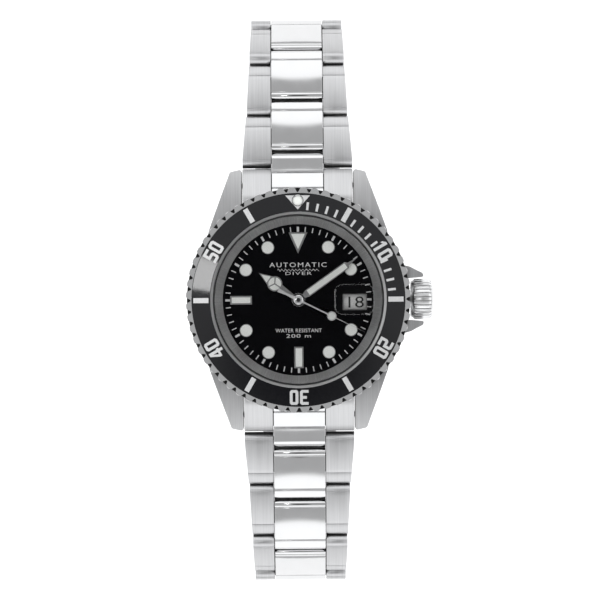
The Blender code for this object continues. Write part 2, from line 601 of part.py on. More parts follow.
def make_hands():
    hub = PIPE + 0.15 * MM
    neck = 0.3 * MM
    hour = [(-neck, hub), (-neck, HOUR_DISC_AT - HOUR_DISC)]
    hour += arc(0, HOUR_DISC_AT, HOUR_DISC, 255, 110, 8) + [(0, HOUR_REACH)]
    hour += arc(0, HOUR_DISC_AT, HOUR_DISC, 70, -75, 8)
    hour += [(neck, hub)] + arc(0, 0, hub, 70, -250, 12)
    hand("hour_hand", hour, HOUR_LOW, PIPE, PIPE - PIPE_WALL, HOUR_ANGLE)
    half = MINUTE_WIDTH / 2
    point = MINUTE_REACH - MINUTE_POINT
    minute = [(-neck, hub), (-neck, MINUTE_SHOULDER - MM), (-half, MINUTE_SHOULDER), (-half, point),
              (0, MINUTE_REACH), (half, point), (half, MINUTE_SHOULDER), (neck, MINUTE_SHOULDER - MM),
              (neck, hub)] + arc(0, 0, hub, 70, -250, 12)
    outer = PIPE - PIPE_WALL - TURN_GAP
    hand("minute_hand", minute, MINUTE_LOW, outer, outer - PIPE_WALL, MINUTE_ANGLE)
    thin = 0.12 * MM
    seconds = [(-thin, SECONDS_DISC_AT - SECONDS_DISC)]
    seconds += arc(0, SECONDS_DISC_AT, SECONDS_DISC, 250, 110, 6) + [(0, SECONDS_REACH)]
    seconds += arc(0, SECONDS_DISC_AT, SECONDS_DISC, 70, -70, 6)
    seconds += [(thin, hub)] + arc(0, 0, SECONDS_HUB, 70, -70, 6)
    seconds += [(3 * thin, -SECONDS_TAIL), (-3 * thin, -SECONDS_TAIL)]
    seconds += arc(0, 0, SECONDS_HUB, 250, 110, 6) + [(-thin, hub)]
    hand("seconds_hand", seconds, SECONDS_LOW, outer - PIPE_WALL - TURN_GAP, 0.0, SECONDS_ANGLE)


# ---- bracelet ---------------------------------------------------------------------------------
def pin_places(count):
    """(y, z) of each pin from the end link outward, on the 12 o'clock side."""
    places = [FIRST_PIN]
    for tilt in LINK_TILTS[:count]:
        angle = math.radians(tilt)
        y, z = places[-1]
        places.append((y + LINK_PITCH * math.cos(angle), z - LINK_PITCH * math.sin(angle)))
    return places


PINS_12 = pin_places(LINKS_12)
PINS_6 = [(-y, z) for y, z in pin_places(LINKS_6)]


def make_link(name, near_half, far_half):
    """One link in its own frame: pin at the origin, Y along the link, Z outward. Two arms hold the
    pin, a middle piece ends in the tongue that the next link's arms take."""
    far = LINK_PITCH - ROUND_END - LINK_GAP
    arm = [(far, -ROUND_END), (far, ROUND_END)] + arc(0, 0, ROUND_END, 90, 270, 8)
    arm_hole = circle(0, 0, HINGE_HOLE, PIN_SIDES)
    near = ROUND_END + LINK_GAP
    middle = [(near, ROUND_END)] + [(near, -ROUND_END)] + arc(LINK_PITCH, 0, ROUND_END, -90, 90, 8)
    tongue_hole = circle(LINK_PITCH, 0, HINGE_HOLE, PIN_SIDES)
    link = side_plate(name, [middle, tongue_hole], -TONGUE_HALF, TONGUE_HALF, BRUSHED)
    inner = ARM_INNER
    for side in (1, -1):
        low, high = sorted((side * inner, side * near_half))
        outer = side_plate(name + "_arm", [arm, arm_hole], low, high, BRUSHED)
        for vertex in outer.data.vertices:
            if abs(vertex.co.x) > inner + 0.5 * MM:
                share = vertex.co.y / LINK_PITCH
                vertex.co.x = side * (near_half + (far_half - near_half) * max(share, 0.0))
        join(link, outer)
    bridge = 0.9 * MM
    join(link, box(name + "_bridge", (-inner - MM, near + MM, -bridge), (inner + MM, far - MM, bridge),
                   BRUSHED))
    return bake(link)


def make_side(label, count, turn):
    """The links and pins of one half of the bracelet, on an empty turned to face 12 or 6."""
    frame = bpy.data.objects.new("bracelet_" + label, None)
    parts.objects.link(frame)
    frame.rotation_euler.z = turn
    places = pin_places(count)
    for i in range(count):
        near_half, far_half = HALF_WIDTHS[i], HALF_WIDTHS[i + 1]
        link = make_link("link_%s_%d" % (label, i + 1), near_half, far_half)
        half = near_half - PIN_INSET
        pin = rod("link_pin_%s_%d" % (label, i + 1), -half, half, 0, 0, PIN_RADIUS, PIN_SIDES, SPRING_STEEL)
        y, z = places[i]
        for piece in (link, pin):
            piece.parent = frame
            piece.location = (0.0, y, z)
            piece.rotation_euler.x = -math.radians(LINK_TILTS[i])


def make_end_link(label, side):
    """The piece that fills the space between two lugs and carries the first pin's tongue."""
    half = END_LINK_HALF
    y1, z1 = FIRST_PIN
    far = y1 - ROUND_END - LINK_GAP
    near = BAY_RADIUS - 3.2 * MM
    body = [(near, END_LINK_LOW + 0.6 * MM), (SPRING_BAR[0], END_LINK_LOW), (far, z1 - ROUND_END),
            (far, z1 + ROUND_END), (SPRING_BAR[0] + 0.6 * MM, 6.4 * MM),
            (BAY_RADIUS + 0.6 * MM, END_LINK_TOP), (near, END_LINK_TOP)]
    link = side_plate("end_link_" + label, [body], -half, half, BRUSHED)
    tongue = [(SPRING_BAR[0], z1 - ROUND_END)] + arc(y1, z1, ROUND_END, -90, 90, 8)
    tongue += [(SPRING_BAR[0], z1 + ROUND_END)]
    join(link, side_plate("tongue", [tongue], -TONGUE_HALF, TONGUE_HALF, BRUSHED))
    cut(link, turned("bay", [(0, CASE_TOP), (BAY_RADIUS + 0.2 * MM, CASE_TOP), (BAY_RADIUS + 0.2 * MM, 0),
                             (0, 0)], 96, BRUSHED))
    cut(link, rod("pin_hole", -half, half, y1, z1, HINGE_HOLE, PIN_SIDES, BRUSHED))
    cut(link, rod("bar_hole", -half - MM, half + MM, *SPRING_BAR, BAR_RADIUS + PIN_GAP, PIN_SIDES, BRUSHED))
    bake(link)
    tip = LUG_INNER + LUG_HOLE_DEPTH - 0.2 * MM
    shoulder = LUG_INNER - TURN_GAP
    bar = bake(turned("spring_bar_" + label, [
        (0, tip), (BAR_TIP, tip), (BAR_TIP, shoulder), (BAR_RADIUS, shoulder), (BAR_RADIUS, -shoulder),
        (BAR_TIP, -shoulder), (BAR_TIP, -tip), (0, -tip)], PIN_SIDES, SPRING_STEEL))
    bar.data.transform(Matrix.Rotation(math.pi / 2, 4, "Y"))
    bar.data.transform(Matrix.Translation((0.0, SPRING_BAR[0], SPRING_BAR[1])))
    if side < 0:
        for piece in (link, bar):
            piece.data.transform(Matrix.Rotation(math.pi, 4, "Z"))


# ---- clasp ------------------------------------------------------------------------------------
CLASP_Y = PINS_12[-1][0]            # spring bar of the cover
CLASP_Z = PINS_12[-1][1]
LAST_PIN_Y = PINS_6[-1][0]          # pin of the inner blade, in the last 6 o'clock link
COVER_PIN_Y = LAST_PIN_Y + COVER_PIN_INSET
COVER_TOP = CLASP_Z - LINK_THICK / 2 - SEAT_GAP     # inner face of the cover's plate
COVER_LOW = COVER_TOP - COVER_PLATE
BLADE_LOW = COVER_TOP + BLADE_GAP
BLADE_Z = BLADE_LOW + BLADE_THICK / 2
FOLD_PIN_Y = CLASP_Y - FOLD_PIN_INSET
CATCH_PIN_Y = COVER_PIN_Y + CATCH_PIN_INSET
CATCH_Z = COVER_LOW - KNUCKLE_RADIUS - SEAT_GAP


def make_cover():
    end = COVER_PIN_Y - COVER_END
    ear_start = CLASP_Y - ROUND_END
    cover = box("clasp_cover", (-COVER_HALF, end, COVER_LOW), (COVER_HALF, ear_start - 0.3 * MM, COVER_TOP),
                BRUSHED)
    wall_top = COVER_TOP + COVER_WALL_RISE
    for side in (1, -1):
        low, high = sorted((side * (COVER_HALF - COVER_WALL), side * COVER_HALF))
        wall = [(end, COVER_LOW + 0.1 * MM), (CLASP_Y, COVER_LOW + 0.1 * MM), (CLASP_Y, wall_top),
                (end, wall_top)]
        join(cover, side_plate("cover_wall", [wall, circle(COVER_PIN_Y, BLADE_Z, CLASP_HOLE,
                                                           PIN_SIDES)], low, high, BRUSHED))
        low, high = sorted((side * ARM_INNER, side * (COVER_HALF - 0.05 * MM)))
        ear = [(ear_start - 1.2 * MM, COVER_LOW + 0.05 * MM), (CLASP_Y, COVER_LOW + 0.05 * MM)]
        ear += arc(CLASP_Y, CLASP_Z, ROUND_END, -80, 90, 7) + [(ear_start - 1.2 * MM, CLASP_Z + ROUND_END)]
        join(cover, side_plate("cover_ear", [ear], low, high, BRUSHED))
        low, high = sorted((side * (CATCH_HALF + TURN_GAP), side * (CATCH_HALF + TURN_GAP + KNUCKLE_WIDTH)))
        knuckle = arc(CATCH_PIN_Y, CATCH_Z, KNUCKLE_RADIUS, 180, 360, 8)
        knuckle += [(CATCH_PIN_Y + KNUCKLE_RADIUS, COVER_LOW + 0.2 * MM),
                    (CATCH_PIN_Y - KNUCKLE_RADIUS, COVER_LOW + 0.2 * MM)]
        hole = circle(CATCH_PIN_Y, CATCH_Z, CLASP_HOLE, PIN_SIDES)
        join(cover, side_plate("catch_knuckle", [knuckle, hole], low, high, BRUSHED))
    bar_end = COVER_HALF - PIN_INSET
    cut(cover, rod("spring_bar_hole", -bar_end - SEAT_GAP, bar_end + SEAT_GAP, CLASP_Y, CLASP_Z, HINGE_HOLE,
                   PIN_SIDES, BRUSHED))
    set_origin(bake(cover), 0.0, CLASP_Y, CLASP_Z)
    bar = rod("clasp_spring_bar", -bar_end, bar_end, 0, 0, PIN_RADIUS, PIN_SIDES, SPRING_STEEL)
    move(bar, 0.0, CLASP_Y, CLASP_Z)


def make_blades():
    """The outer blade is a fork; the inner blade lies between its rails and ends in two ears."""
    pin = CLASP_PIN_RADIUS
    barrel = BLADE_THICK / 2
    rail = INNER_BLADE_HALF + BLADE_GAP
    pin_end = BLADE_HALF - PIN_COVERED
    start, end = COVER_PIN_Y - barrel, FOLD_PIN_Y + 2.6 * MM
    fork = [(-BLADE_HALF, start), (-rail, start), (-rail, FOLD_PIN_Y + 1.1 * MM),
            (rail, FOLD_PIN_Y + 1.1 * MM), (rail, start), (BLADE_HALF, start), (BLADE_HALF, end),
            (-BLADE_HALF, end)]
    outer = plate("clasp_outer_blade", [fork], BLADE_LOW, BLADE_LOW + BLADE_THICK, BRUSHED)
    stub = COVER_HALF - 0.2 * MM
    for side in (1, -1):
        low, high = sorted((side * (BLADE_HALF - MM), side * stub))
        join(outer, rod("cover_pin", low, high, COVER_PIN_Y, BLADE_Z, pin, PIN_SIDES, BRUSHED))
    hole_end = pin_end + 2 * TURN_GAP
    cut(outer, rod("fold_pin_hole", -hole_end, hole_end, FOLD_PIN_Y, BLADE_Z, CLASP_HOLE, PIN_SIDES,
                   BRUSHED))
    set_origin(bake(outer), 0.0, COVER_PIN_Y, BLADE_Z)

    bar_end = LAST_PIN_Y + ROUND_END + LINK_GAP
    bar_start = bar_end + 2.0 * MM
    inner = box("clasp_inner_blade", (-INNER_BLADE_HALF, bar_start - 0.4 * MM, BLADE_LOW),
                (INNER_BLADE_HALF, FOLD_PIN_Y + 0.5 * MM, BLADE_LOW + BLADE_THICK), BRUSHED)
    low_z, high_z = CLASP_Z - ROUND_END, CLASP_Z + ROUND_END
    join(inner, box("ear_bar", (-BLADE_HALF, bar_end, low_z), (BLADE_HALF, bar_start, high_z), BRUSHED))
    for side in (1, -1):
        low, high = sorted((side * ARM_INNER, side * (BLADE_HALF - 0.05 * MM)))
        ear = [(bar_end + 0.4 * MM, low_z + 0.02 * MM), (bar_end + 0.4 * MM, high_z - 0.02 * MM)]
        ear += arc(LAST_PIN_Y, CLASP_Z, ROUND_END - 0.02 * MM, 90, 270, 8)
        join(inner, side_plate("blade_ear", [ear, circle(LAST_PIN_Y, CLASP_Z, HINGE_HOLE, PIN_SIDES)],
                               low, high, BRUSHED))
    join(inner, rod("fold_pin", -pin_end, pin_end, FOLD_PIN_Y, BLADE_Z, pin, PIN_SIDES, BRUSHED))
    set_origin(bake(inner), 0.0, FOLD_PIN_Y, BLADE_Z)

    half = TONGUE_HALF
    end_pin = rod("clasp_end_pin", -half, half, 0, 0, PIN_RADIUS, PIN_SIDES, SPRING_STEEL)
    move(end_pin, 0.0, LAST_PIN_Y, CLASP_Z)


def make_catch():
    barrel = KNUCKLE_RADIUS - 0.1 * MM
    low = CATCH_Z - barrel
    leaf = [(CATCH_PIN_Y, low), (CATCH_PIN_Y, low + CATCH_THICK)]
    leaf += [(CATCH_PIN_Y - CATCH_REACH, low + CATCH_THICK), (CATCH_PIN_Y - CATCH_REACH, low)]
    catch = side_plate("safety_catch", [leaf], -CATCH_HALF, CATCH_HALF, POLISHED)
    join(catch, rod("catch_barrel", -CATCH_HALF + 0.02 * MM, CATCH_HALF - 0.02 * MM, CATCH_PIN_Y, CATCH_Z,
                    barrel - 0.02 * MM, 16, POLISHED))
    stub = CATCH_HALF + KNUCKLE_WIDTH
    join(catch, rod("catch_pin", -stub, stub, CATCH_PIN_Y, CATCH_Z, CLASP_PIN_RADIUS, PIN_SIDES, POLISHED))
    set_origin(bake(catch), 0.0, CATCH_PIN_Y, CATCH_Z)


# ---- the watch --------------------------------------------------------------------------------
for old in list(bpy.data.objects):
    bpy.data.objects.remove(old)
parts = new_collection("Dive watch")
cutters = new_collection("Cutters")

make_mid_case()
make_case_back()
make_crystal()
make_dial()
make_bezel()
make_crown()
make_movement()
make_hands()
make_end_link("12", 1)
make_end_link("6", -1)
make_side("12", LINKS_12, 0.0)
make_side("6", LINKS_6, math.pi)
make_cover()
make_blades()
make_catch()

for piece in parts.objects:
    if piece.type == "MESH":
        piece.data.shade_smooth()
        piece.data.set_sharp_from_angle(angle=math.radians(30))
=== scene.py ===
# %% [markdown]
# # A steel dive watch
#
# This lesson dresses a dive watch that is already packed as a working frame of plain solids: a steel
# case, a turning bezel, hands on their pipes, and thirteen links that close in a folding clasp. Each
# piece is remodelled at its real size and place, given its finish, and hung on the body that carries it.

# %% Load the frame
import math

import bpy
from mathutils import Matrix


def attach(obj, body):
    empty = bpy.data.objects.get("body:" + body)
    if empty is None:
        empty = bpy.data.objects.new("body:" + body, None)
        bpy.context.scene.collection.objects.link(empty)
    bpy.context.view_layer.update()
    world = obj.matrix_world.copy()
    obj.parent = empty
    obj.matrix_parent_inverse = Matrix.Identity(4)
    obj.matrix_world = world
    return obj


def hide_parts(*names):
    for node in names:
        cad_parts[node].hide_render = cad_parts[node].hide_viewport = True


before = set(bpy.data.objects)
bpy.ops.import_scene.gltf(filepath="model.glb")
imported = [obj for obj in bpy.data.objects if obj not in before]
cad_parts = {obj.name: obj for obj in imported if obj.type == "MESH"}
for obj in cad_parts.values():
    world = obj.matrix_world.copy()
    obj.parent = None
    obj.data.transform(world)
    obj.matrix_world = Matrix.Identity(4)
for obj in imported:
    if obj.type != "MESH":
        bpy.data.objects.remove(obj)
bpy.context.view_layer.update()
MM = 0.001

# %% [markdown]
# ## Working by selection
#
# Blender's operators act on whatever is selected. Loading the frame leaves everything selected, so each
# step starts by clearing that, then picks the piece it means. Everything below is written in
# millimetres and turned to metres inside these helpers.

# %% Pick a piece, open it for editing, clean it
def clear():
    if bpy.context.mode != "OBJECT":
        bpy.ops.object.mode_set(mode="OBJECT")
    bpy.ops.object.select_all(action="DESELECT")


def pick(*pieces):
    clear()
    for piece in pieces:
        piece.select_set(True)
    bpy.context.view_layer.objects.active = pieces[0]


def edit(piece):
    pick(piece)
    bpy.ops.object.mode_set(mode="EDIT")
    bpy.ops.mesh.select_mode(type="VERT")
    bpy.ops.mesh.select_all(action="SELECT")


def clean(piece, flat=1.0):
    """Merge doubles, join faces that lie in one plane, and point every face outwards."""
    edit(piece)
    bpy.ops.mesh.remove_doubles(threshold=1e-7)
    if flat:
        bpy.ops.mesh.dissolve_limited(angle_limit=math.radians(flat))
    bpy.ops.mesh.normals_make_consistent(inside=False)
    clear()
    return piece


clear()
print("nothing is selected")

# %% [markdown]
# ## Flat plates and turned rings
#
# Nearly every part of a watch starts as a blank cut from sheet or turned on a lathe. A sheet part is a
# flat curve, filled and raised, which is then made a mesh. The fill works on large numbers, so it is
# drawn with one unit to the millimetre and scaled down. A lathe part is a single point, extruded along
# the section and spun about the axis, as the cutting tool would leave it.

# %% Plates from outlines, rings from sections
def arc(x, y, radius, start, end, steps):
    angles = [math.radians(start + (end - start) * i / steps) for i in range(steps + 1)]
    return [(x + radius * math.cos(a), y + radius * math.sin(a)) for a in angles]


def circle(x, y, radius, steps=64):
    return arc(x, y, radius, 0, 360, steps)[:-1]


def box(x0, y0, x1, y1):
    return [(x0, y0), (x1, y0), (x1, y1), (x0, y1)]


def rounded(x, y, length, width, corner, steps=6):
    """A rectangle with round corners, centred on x, y."""
    points = []
    for a, b, start in ((1, 1, 0), (-1, 1, 90), (-1, -1, 180), (1, -1, 270)):
        points += arc(x + a * (length / 2 - corner), y + b * (width / 2 - corner), corner,
                      start, start + 90, steps)
    return points


def trace(name, outlines, low, high, side=False, flat=1.0):
    """A plate between two heights. With side, the outlines are (y, z) and it is as thick along X."""
    curve = bpy.data.curves.new(name, "CURVE")
    curve.dimensions = "2D"
    curve.fill_mode = "BOTH"
    curve.extrude = (high - low) / 2
    for outline in outlines:
        spline = curve.splines.new("POLY")
        spline.points.add(len(outline) - 1)
        for point, (a, b) in zip(spline.points, outline):
            point.co = (a, b, 0.0, 1.0)
        spline.use_cyclic_u = True
    piece = bpy.data.objects.new(name, curve)
    bpy.context.scene.collection.objects.link(piece)
    pick(piece)
    bpy.ops.object.convert(target="MESH")
    piece = bpy.context.object
    middle = (low + high) / 2 * MM
    piece.scale = (MM, MM, MM)
    piece.location = (middle, 0, 0) if side else (0, 0, middle)
    if side:
        piece.rotation_euler = (math.pi / 2, 0, math.pi / 2)
    bpy.ops.object.transform_apply()
    return clean(piece, flat)


def wing(name, outlines, side, near, far):
    """A plate from its side view, that stands between near and far from the middle, left or right."""
    low, high = sorted((side * near, side * far))
    return trace(name, outlines, low, high, side=True)


def rod(name, y, z, radius, low, high, steps=20):
    """A round bar along X, as a pin or as the tool for a hole."""
    return trace(name, [circle(y, z, radius, steps)], low, high, side=True)


def turn(name, section, steps=96):
    """(radius, height) points spun about Z. A section that leaves the axis is closed into a ring."""
    clear()
    (radius, height) = section[0]
    bpy.ops.mesh.primitive_plane_add(size=MM, location=(radius * MM, 0, height * MM))
    piece = bpy.context.object
    piece.name = name
    bpy.ops.object.transform_apply()
    edit(piece)
    bpy.ops.mesh.merge(type="CENTER")
    closing = [section[0]] if min(section[0][0], section[-1][0]) > 0 else []
    for r, z in section[1:] + closing:
        step = ((r - radius) * MM, 0, (z - height) * MM)
        bpy.ops.mesh.extrude_region_move(TRANSFORM_OT_translate={"value": step})
        radius, height = r, z
    bpy.ops.mesh.select_all(action="SELECT")
    bpy.ops.mesh.spin(steps=steps, angle=math.tau, center=(0, 0, 0), axis=(0, 0, 1))
    return clean(piece, 0)


washer = turn("washer", [(3, 1), (3, 0), (2, 0), (2, 1)], 24)
print("a trial washer has %d faces" % len(washer.data.polygons))
bpy.data.objects.remove(washer)

# %% [markdown]
# ## Cutting, softening, copying and hanging
#
# A cut is a boolean whose tool is thrown away. No edge on a real watch is knife sharp: a bevel a few
# hundredths wide catches the light, which is most of what makes steel look like steel. What repeats is
# made once and copied, each copy with its own mesh, and every finished piece rides on a body.

# %% The rest of the bench tools
def carve(piece, tool, operation="DIFFERENCE"):
    modifier = piece.modifiers.new("Carve", "BOOLEAN")
    modifier.operation = operation
    modifier.solver = "EXACT"
    modifier.object = tool
    pick(piece)
    bpy.ops.object.modifier_apply(modifier=modifier.name)
    bpy.data.objects.remove(tool)
    return piece


def soften(piece, width, segments=2, angle=35, clamp=True):
    """A small bevel on each edge sharper than the angle, then smooth shading between hard edges."""
    modifier = piece.modifiers.new("Soften", "BEVEL")
    modifier.width = width * MM
    modifier.segments = segments
    modifier.limit_method = "ANGLE"
    modifier.angle_limit = math.radians(angle)
    modifier.use_clamp_overlap = clamp
    pick(piece)
    bpy.ops.object.modifier_apply(modifier=modifier.name)
    return smooth(piece)


def smooth(piece, angle=40):
    pick(piece)
    bpy.ops.object.shade_smooth_by_angle(angle=math.radians(angle))
    return piece


def put(piece, x=0.0, y=0.0, z=0.0, turn_x=0.0, turn_y=0.0, turn_z=0.0):
    """Turn a piece about the origin, in degrees, then move it, and keep both in its mesh."""
    piece.rotation_euler = tuple(math.radians(a) for a in (turn_x, turn_y, turn_z))
    piece.location = (x * MM, y * MM, z * MM)
    pick(piece)
    bpy.ops.object.transform_apply()
    return piece


def twin(piece, **place):
    copy = piece.copy()
    copy.data = piece.data.copy()
    bpy.context.scene.collection.objects.link(copy)
    return put(copy, **place) if place else copy


def unite(name, *pieces):
    pick(*pieces)
    if len(pieces) > 1:
        bpy.ops.object.join()
    piece = bpy.context.object
    piece.name = name
    return piece


def around(name, piece, angles):
    """Copies of a piece at clock angles about Z. The first piece is used up."""
    copies = [twin(piece, turn_z=-a) for a in angles]
    bpy.data.objects.remove(piece)
    return unite(name, *copies)


def paint(piece, finish):
    piece.data.materials.clear()
    piece.data.materials.append(finish)
    return piece


def repaint(piece, finish, chosen):
    """Give a second finish to the faces that chosen(centre in mm, normal) picks."""
    piece.data.materials.append(finish)
    slot = len(piece.data.materials) - 1
    for face in piece.data.polygons:
        if chosen(face.center / MM, face.normal):
            face.material_index = slot
    return piece


def hang(piece, body, slot, *nodes):
    """Ride on a body, and stand for the plain nodes it replaces. The slot is not used."""
    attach(piece, body)
    if nodes:
        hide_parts(*nodes)
    print("%-22s %6d faces" % (piece.name, len(piece.data.polygons)))
    return piece


print("bench tools are ready")

# %% [markdown]
# ## Finishes as sums
#
# A finish is a small recipe: a pattern, a few sums on it, and a shader that takes the results. One
# class wraps a socket so that the sums read like arithmetic, and one method adds any other node, with
# its settings first and then its values or links.

# %% A socket that can be added and multiplied
class Wire:
    def __init__(self, tree, socket=None):
        self.tree = tree
        self.socket = socket

    def node(self, kind, settings, values, output=0):
        made = self.tree.nodes.new("ShaderNode" + kind)
        for key, value in settings.items():
            setattr(made, key, value)
        for key, value in values.items():
            if isinstance(value, Wire):
                self.tree.links.new(value.socket, made.inputs[key])
            else:
                made.inputs[key].default_value = value
        return Wire(self.tree, made.outputs[output])

    def sum(self, operation, first, second):
        return self.node("Math", {"operation": operation}, {0: first, 1: second})

    def __add__(self, other):
        return self.sum("ADD", self, other)

    __radd__ = __add__

    def __mul__(self, other):
        return self.sum("MULTIPLY", self, other)

    __rmul__ = __mul__

    def __sub__(self, other):
        return self.sum("SUBTRACT", self, other)

    def __rsub__(self, other):
        return self.sum("SUBTRACT", other, self)


def new_finish(name):
    """An empty material, its object coordinates as a Wire, and a function that ends it."""
    material = bpy.data.materials.new(name)
    material.use_nodes = True
    tree = material.node_tree
    tree.nodes.clear()
    place = Wire(tree).node("TexCoord", {}, {}, "Object")

    def end(surface):
        output = tree.nodes.new("ShaderNodeOutputMaterial")
        tree.links.new(surface.socket, output.inputs["Surface"])
        return material

    return place, end


def axes(vector):
    """The x, y and z of a vector."""
    return [vector.node("SeparateXYZ", {}, {"Vector": vector}, i) for i in range(3)]


def blend(place, low, high, factor):
    """A colour between low and high."""
    return place.node("Mix", {"data_type": "RGBA"}, {0: factor, 6: (*low, 1.0), 7: (*high, 1.0)}, 2)


def noise(place, scale, detail=2.0, stretch=(1.0, 1.0, 1.0)):
    """Cloudy values about one half. Scale is in features to the metre, stretched along each axis."""
    spread = place.node("Mapping", {}, {"Vector": place, "Scale": stretch})
    return place.node("TexNoise", {}, {"Vector": spread, "Scale": scale, "Detail": detail}, 0)


print("finishes can be written as sums")
# %% [markdown]
# ## Steel, brushed and polished
#
# The whole watch is one stainless steel, and only the last tool that touched it differs. Brushing
# leaves fine parallel scratches, so the pattern is stretched noise: thousands of features across the
# grain and very few along it. The same lines feed a slight bump, which smears reflections sideways as
# real brushing does. Polishing leaves a near mirror, with faint smudges so that it isn't computer clean.

# %% Brushed lengthwise, brushed round a centre, polished
LINE_DEPTH = 0.00003


def brushed(name, stretch, light=0.70, dark=0.46, rough=0.25):
    place, end = new_finish(name)
    lines = noise(place, 1.0, 4.0, stretch)
    broad = noise(place, 260.0)
    tone = blend(place, (dark, dark, dark * 1.01), (light, light, light * 1.01), lines)
    bump = place.node("Bump", {}, {"Strength": 0.35, "Distance": LINE_DEPTH, "Height": lines})
    return end(place.node("BsdfPrincipled", {}, {
        "Base Color": tone, "Metallic": 1.0, "Roughness": lines * 0.16 + broad * 0.06 + rough,
        "Normal": bump}))


def spun(name, light, dark, rough, per_turn=900.0, rings=False, metallic=1.0):
    """Lines that radiate from the Z axis, or with rings, that run round it."""
    place, end = new_finish(name)
    x, y, _ = axes(place)
    if rings:
        along = (x * x + y * y).sum("POWER", x * x + y * y, 0.5) * 9000.0
    else:
        along = y.sum("ARCTAN2", y, x) * (per_turn / math.tau)
    lines = place.node("TexNoise", {"noise_dimensions": "1D"}, {"W": along, "Scale": 1.0, "Detail": 3.0})
    tone = blend(place, (dark,) * 3, (light,) * 3, lines)
    bump = place.node("Bump", {}, {"Strength": 0.35, "Distance": LINE_DEPTH, "Height": lines})
    return end(place.node("BsdfPrincipled", {}, {
        "Base Color": tone, "Metallic": metallic, "Roughness": lines * 0.15 + rough, "Normal": bump}))


def polished(name, shade=0.74, rough=0.06):
    place, end = new_finish(name)
    smudge = noise(place, 420.0, 4.0)
    hair = noise(place, 1.0, 2.0, (5200.0, 300.0, 300.0))
    tone = blend(place, (shade * 0.93,) * 3, (shade, shade, shade * 1.01), smudge)
    bump = place.node("Bump", {}, {"Strength": 0.10, "Distance": 0.00001, "Height": hair})
    return end(place.node("BsdfPrincipled", {}, {
        "Base Color": tone, "Metallic": 1.0, "Roughness": smudge * 0.07 + hair * 0.03 + rough,
        "Normal": bump}))


BRUSHED = brushed("steel_brushed_lengthwise", (9000.0, 90.0, 90.0))
POLISHED = polished("steel_polished")
RADIAL = spun("steel_brushed_outwards", 0.80, 0.40, 0.30, 700.0, False, 0.5)
SATIN = polished("steel_satin", 0.82, 0.24)
CIRCULAR = spun("steel_turned_in_rings", 0.62, 0.46, 0.26, rings=True)
SPRING = brushed("spring_steel_drawn", (120.0, 6000.0, 6000.0), 0.44, 0.33, 0.30)
print("six steels")

# %% [markdown]
# ## Painted shade in the joints
#
# Between two links the steel is hidden from the light, so it looks black, as it does on the wrist. A dark,
# rough finish on the faces that look at each other paints that shade into their colour; it also colours the
# back's lettering.

# %% Painted shade for the joint faces
def grimy(name, shade):
    # Dark steel with a mottled tone, standing in for the shade between parts.
    place, end = new_finish(name)
    mottle = noise(place, 900.0, 5.0)
    tone = blend(place, (shade * 0.5,) * 3, (shade * 1.5,) * 3, mottle)
    return end(place.node("BsdfPrincipled", {}, {
        "Base Color": tone, "Metallic": 0.6, "Roughness": mottle * 0.3 + 0.45}))


PAINTED_SHADE_AND_PRINT = grimy("steel_painted_shade_and_print", 0.022)
print("joints are dark")

# %% [markdown]
# ## Ceramic, lacquer, paint and lume
#
# The bezel's scale is a glossy black ring with bright filled marks. The dial is black lacquer over
# brass, deep because the lacquer is thick and clear. Lume is a chalky compound with visible grain. Each
# of these is mostly one tone, so the life comes from fine grain in the bump and in the gloss.

# %% Blacks, whites and the glowing compound
def coated(name, low, high, rough, grain, metallic=0.0, bump_depth=0.000004, ior=1.5, spread=0.08):
    place, end = new_finish(name)
    speck = noise(place, grain, 5.0)
    bump = place.node("Bump", {}, {"Strength": 0.3, "Distance": bump_depth, "Height": speck})
    return end(place.node("BsdfPrincipled", {}, {
        "Base Color": blend(place, low, high, speck), "Metallic": metallic, "IOR": ior,
        "Roughness": speck * spread + rough, "Normal": bump}))


CERAMIC = coated("ceramic_black", (0.004, 0.004, 0.005), (0.010, 0.010, 0.012), 0.03, 2500.0, 0.0,
                 0.0000005, 1.55, 0.04)
LACQUER = coated("lacquer_black", (0.002, 0.002, 0.003), (0.005, 0.005, 0.006), 0.02, 5200.0, 0.0,
                 0.0, 1.30, 0.04)
BLACK_PAINT = coated("paint_black", (0.010, 0.010, 0.010), (0.020, 0.020, 0.020), 0.40, 4000.0)
SCALE_SILVER = coated("scale_filling_bright", (0.80, 0.80, 0.80), (0.92, 0.92, 0.92), 0.34, 3000.0, 0.75,
                      0.000002)
WHITE_PAINT = coated("paint_white", (0.74, 0.74, 0.74), (0.84, 0.84, 0.84), 0.42, 4200.0)
LUME = coated("lume_compound", (0.86, 0.88, 0.84), (0.98, 0.99, 0.96), 0.60, 7000.0, 0.0, 0.00001)
DATE_WHITE = coated("date_disc_white", (0.72, 0.72, 0.71), (0.80, 0.80, 0.79), 0.45, 3500.0)
RUBBER = coated("rubber_seal", (0.012, 0.012, 0.012), (0.030, 0.030, 0.030), 0.70, 2600.0, 0.0, 0.00001)
NYLON = coated("nylon_seal", (0.020, 0.020, 0.020), (0.045, 0.045, 0.045), 0.42, 2000.0)
HAND_SILVER = coated("hand_silver", (0.24, 0.24, 0.24), (0.36, 0.36, 0.36), 0.30, 3200.0, 0.75, 0.000002)
BRIGHT_SILVER = coated("bright_silver", (0.60, 0.60, 0.60), (0.74, 0.74, 0.74), 0.36, 3200.0, 0.35, 0.000002)
print("eleven coatings")

# %% [markdown]
# ## Sapphire
#
# The crystal is so clear that it shows only as a reflection on its surface and a bright line at its
# edge. A full glass shader would bend the dial's light and turn noisy, so the crystal is mixed from a
# clear shader and a glossy one, by how steeply the surface is seen.

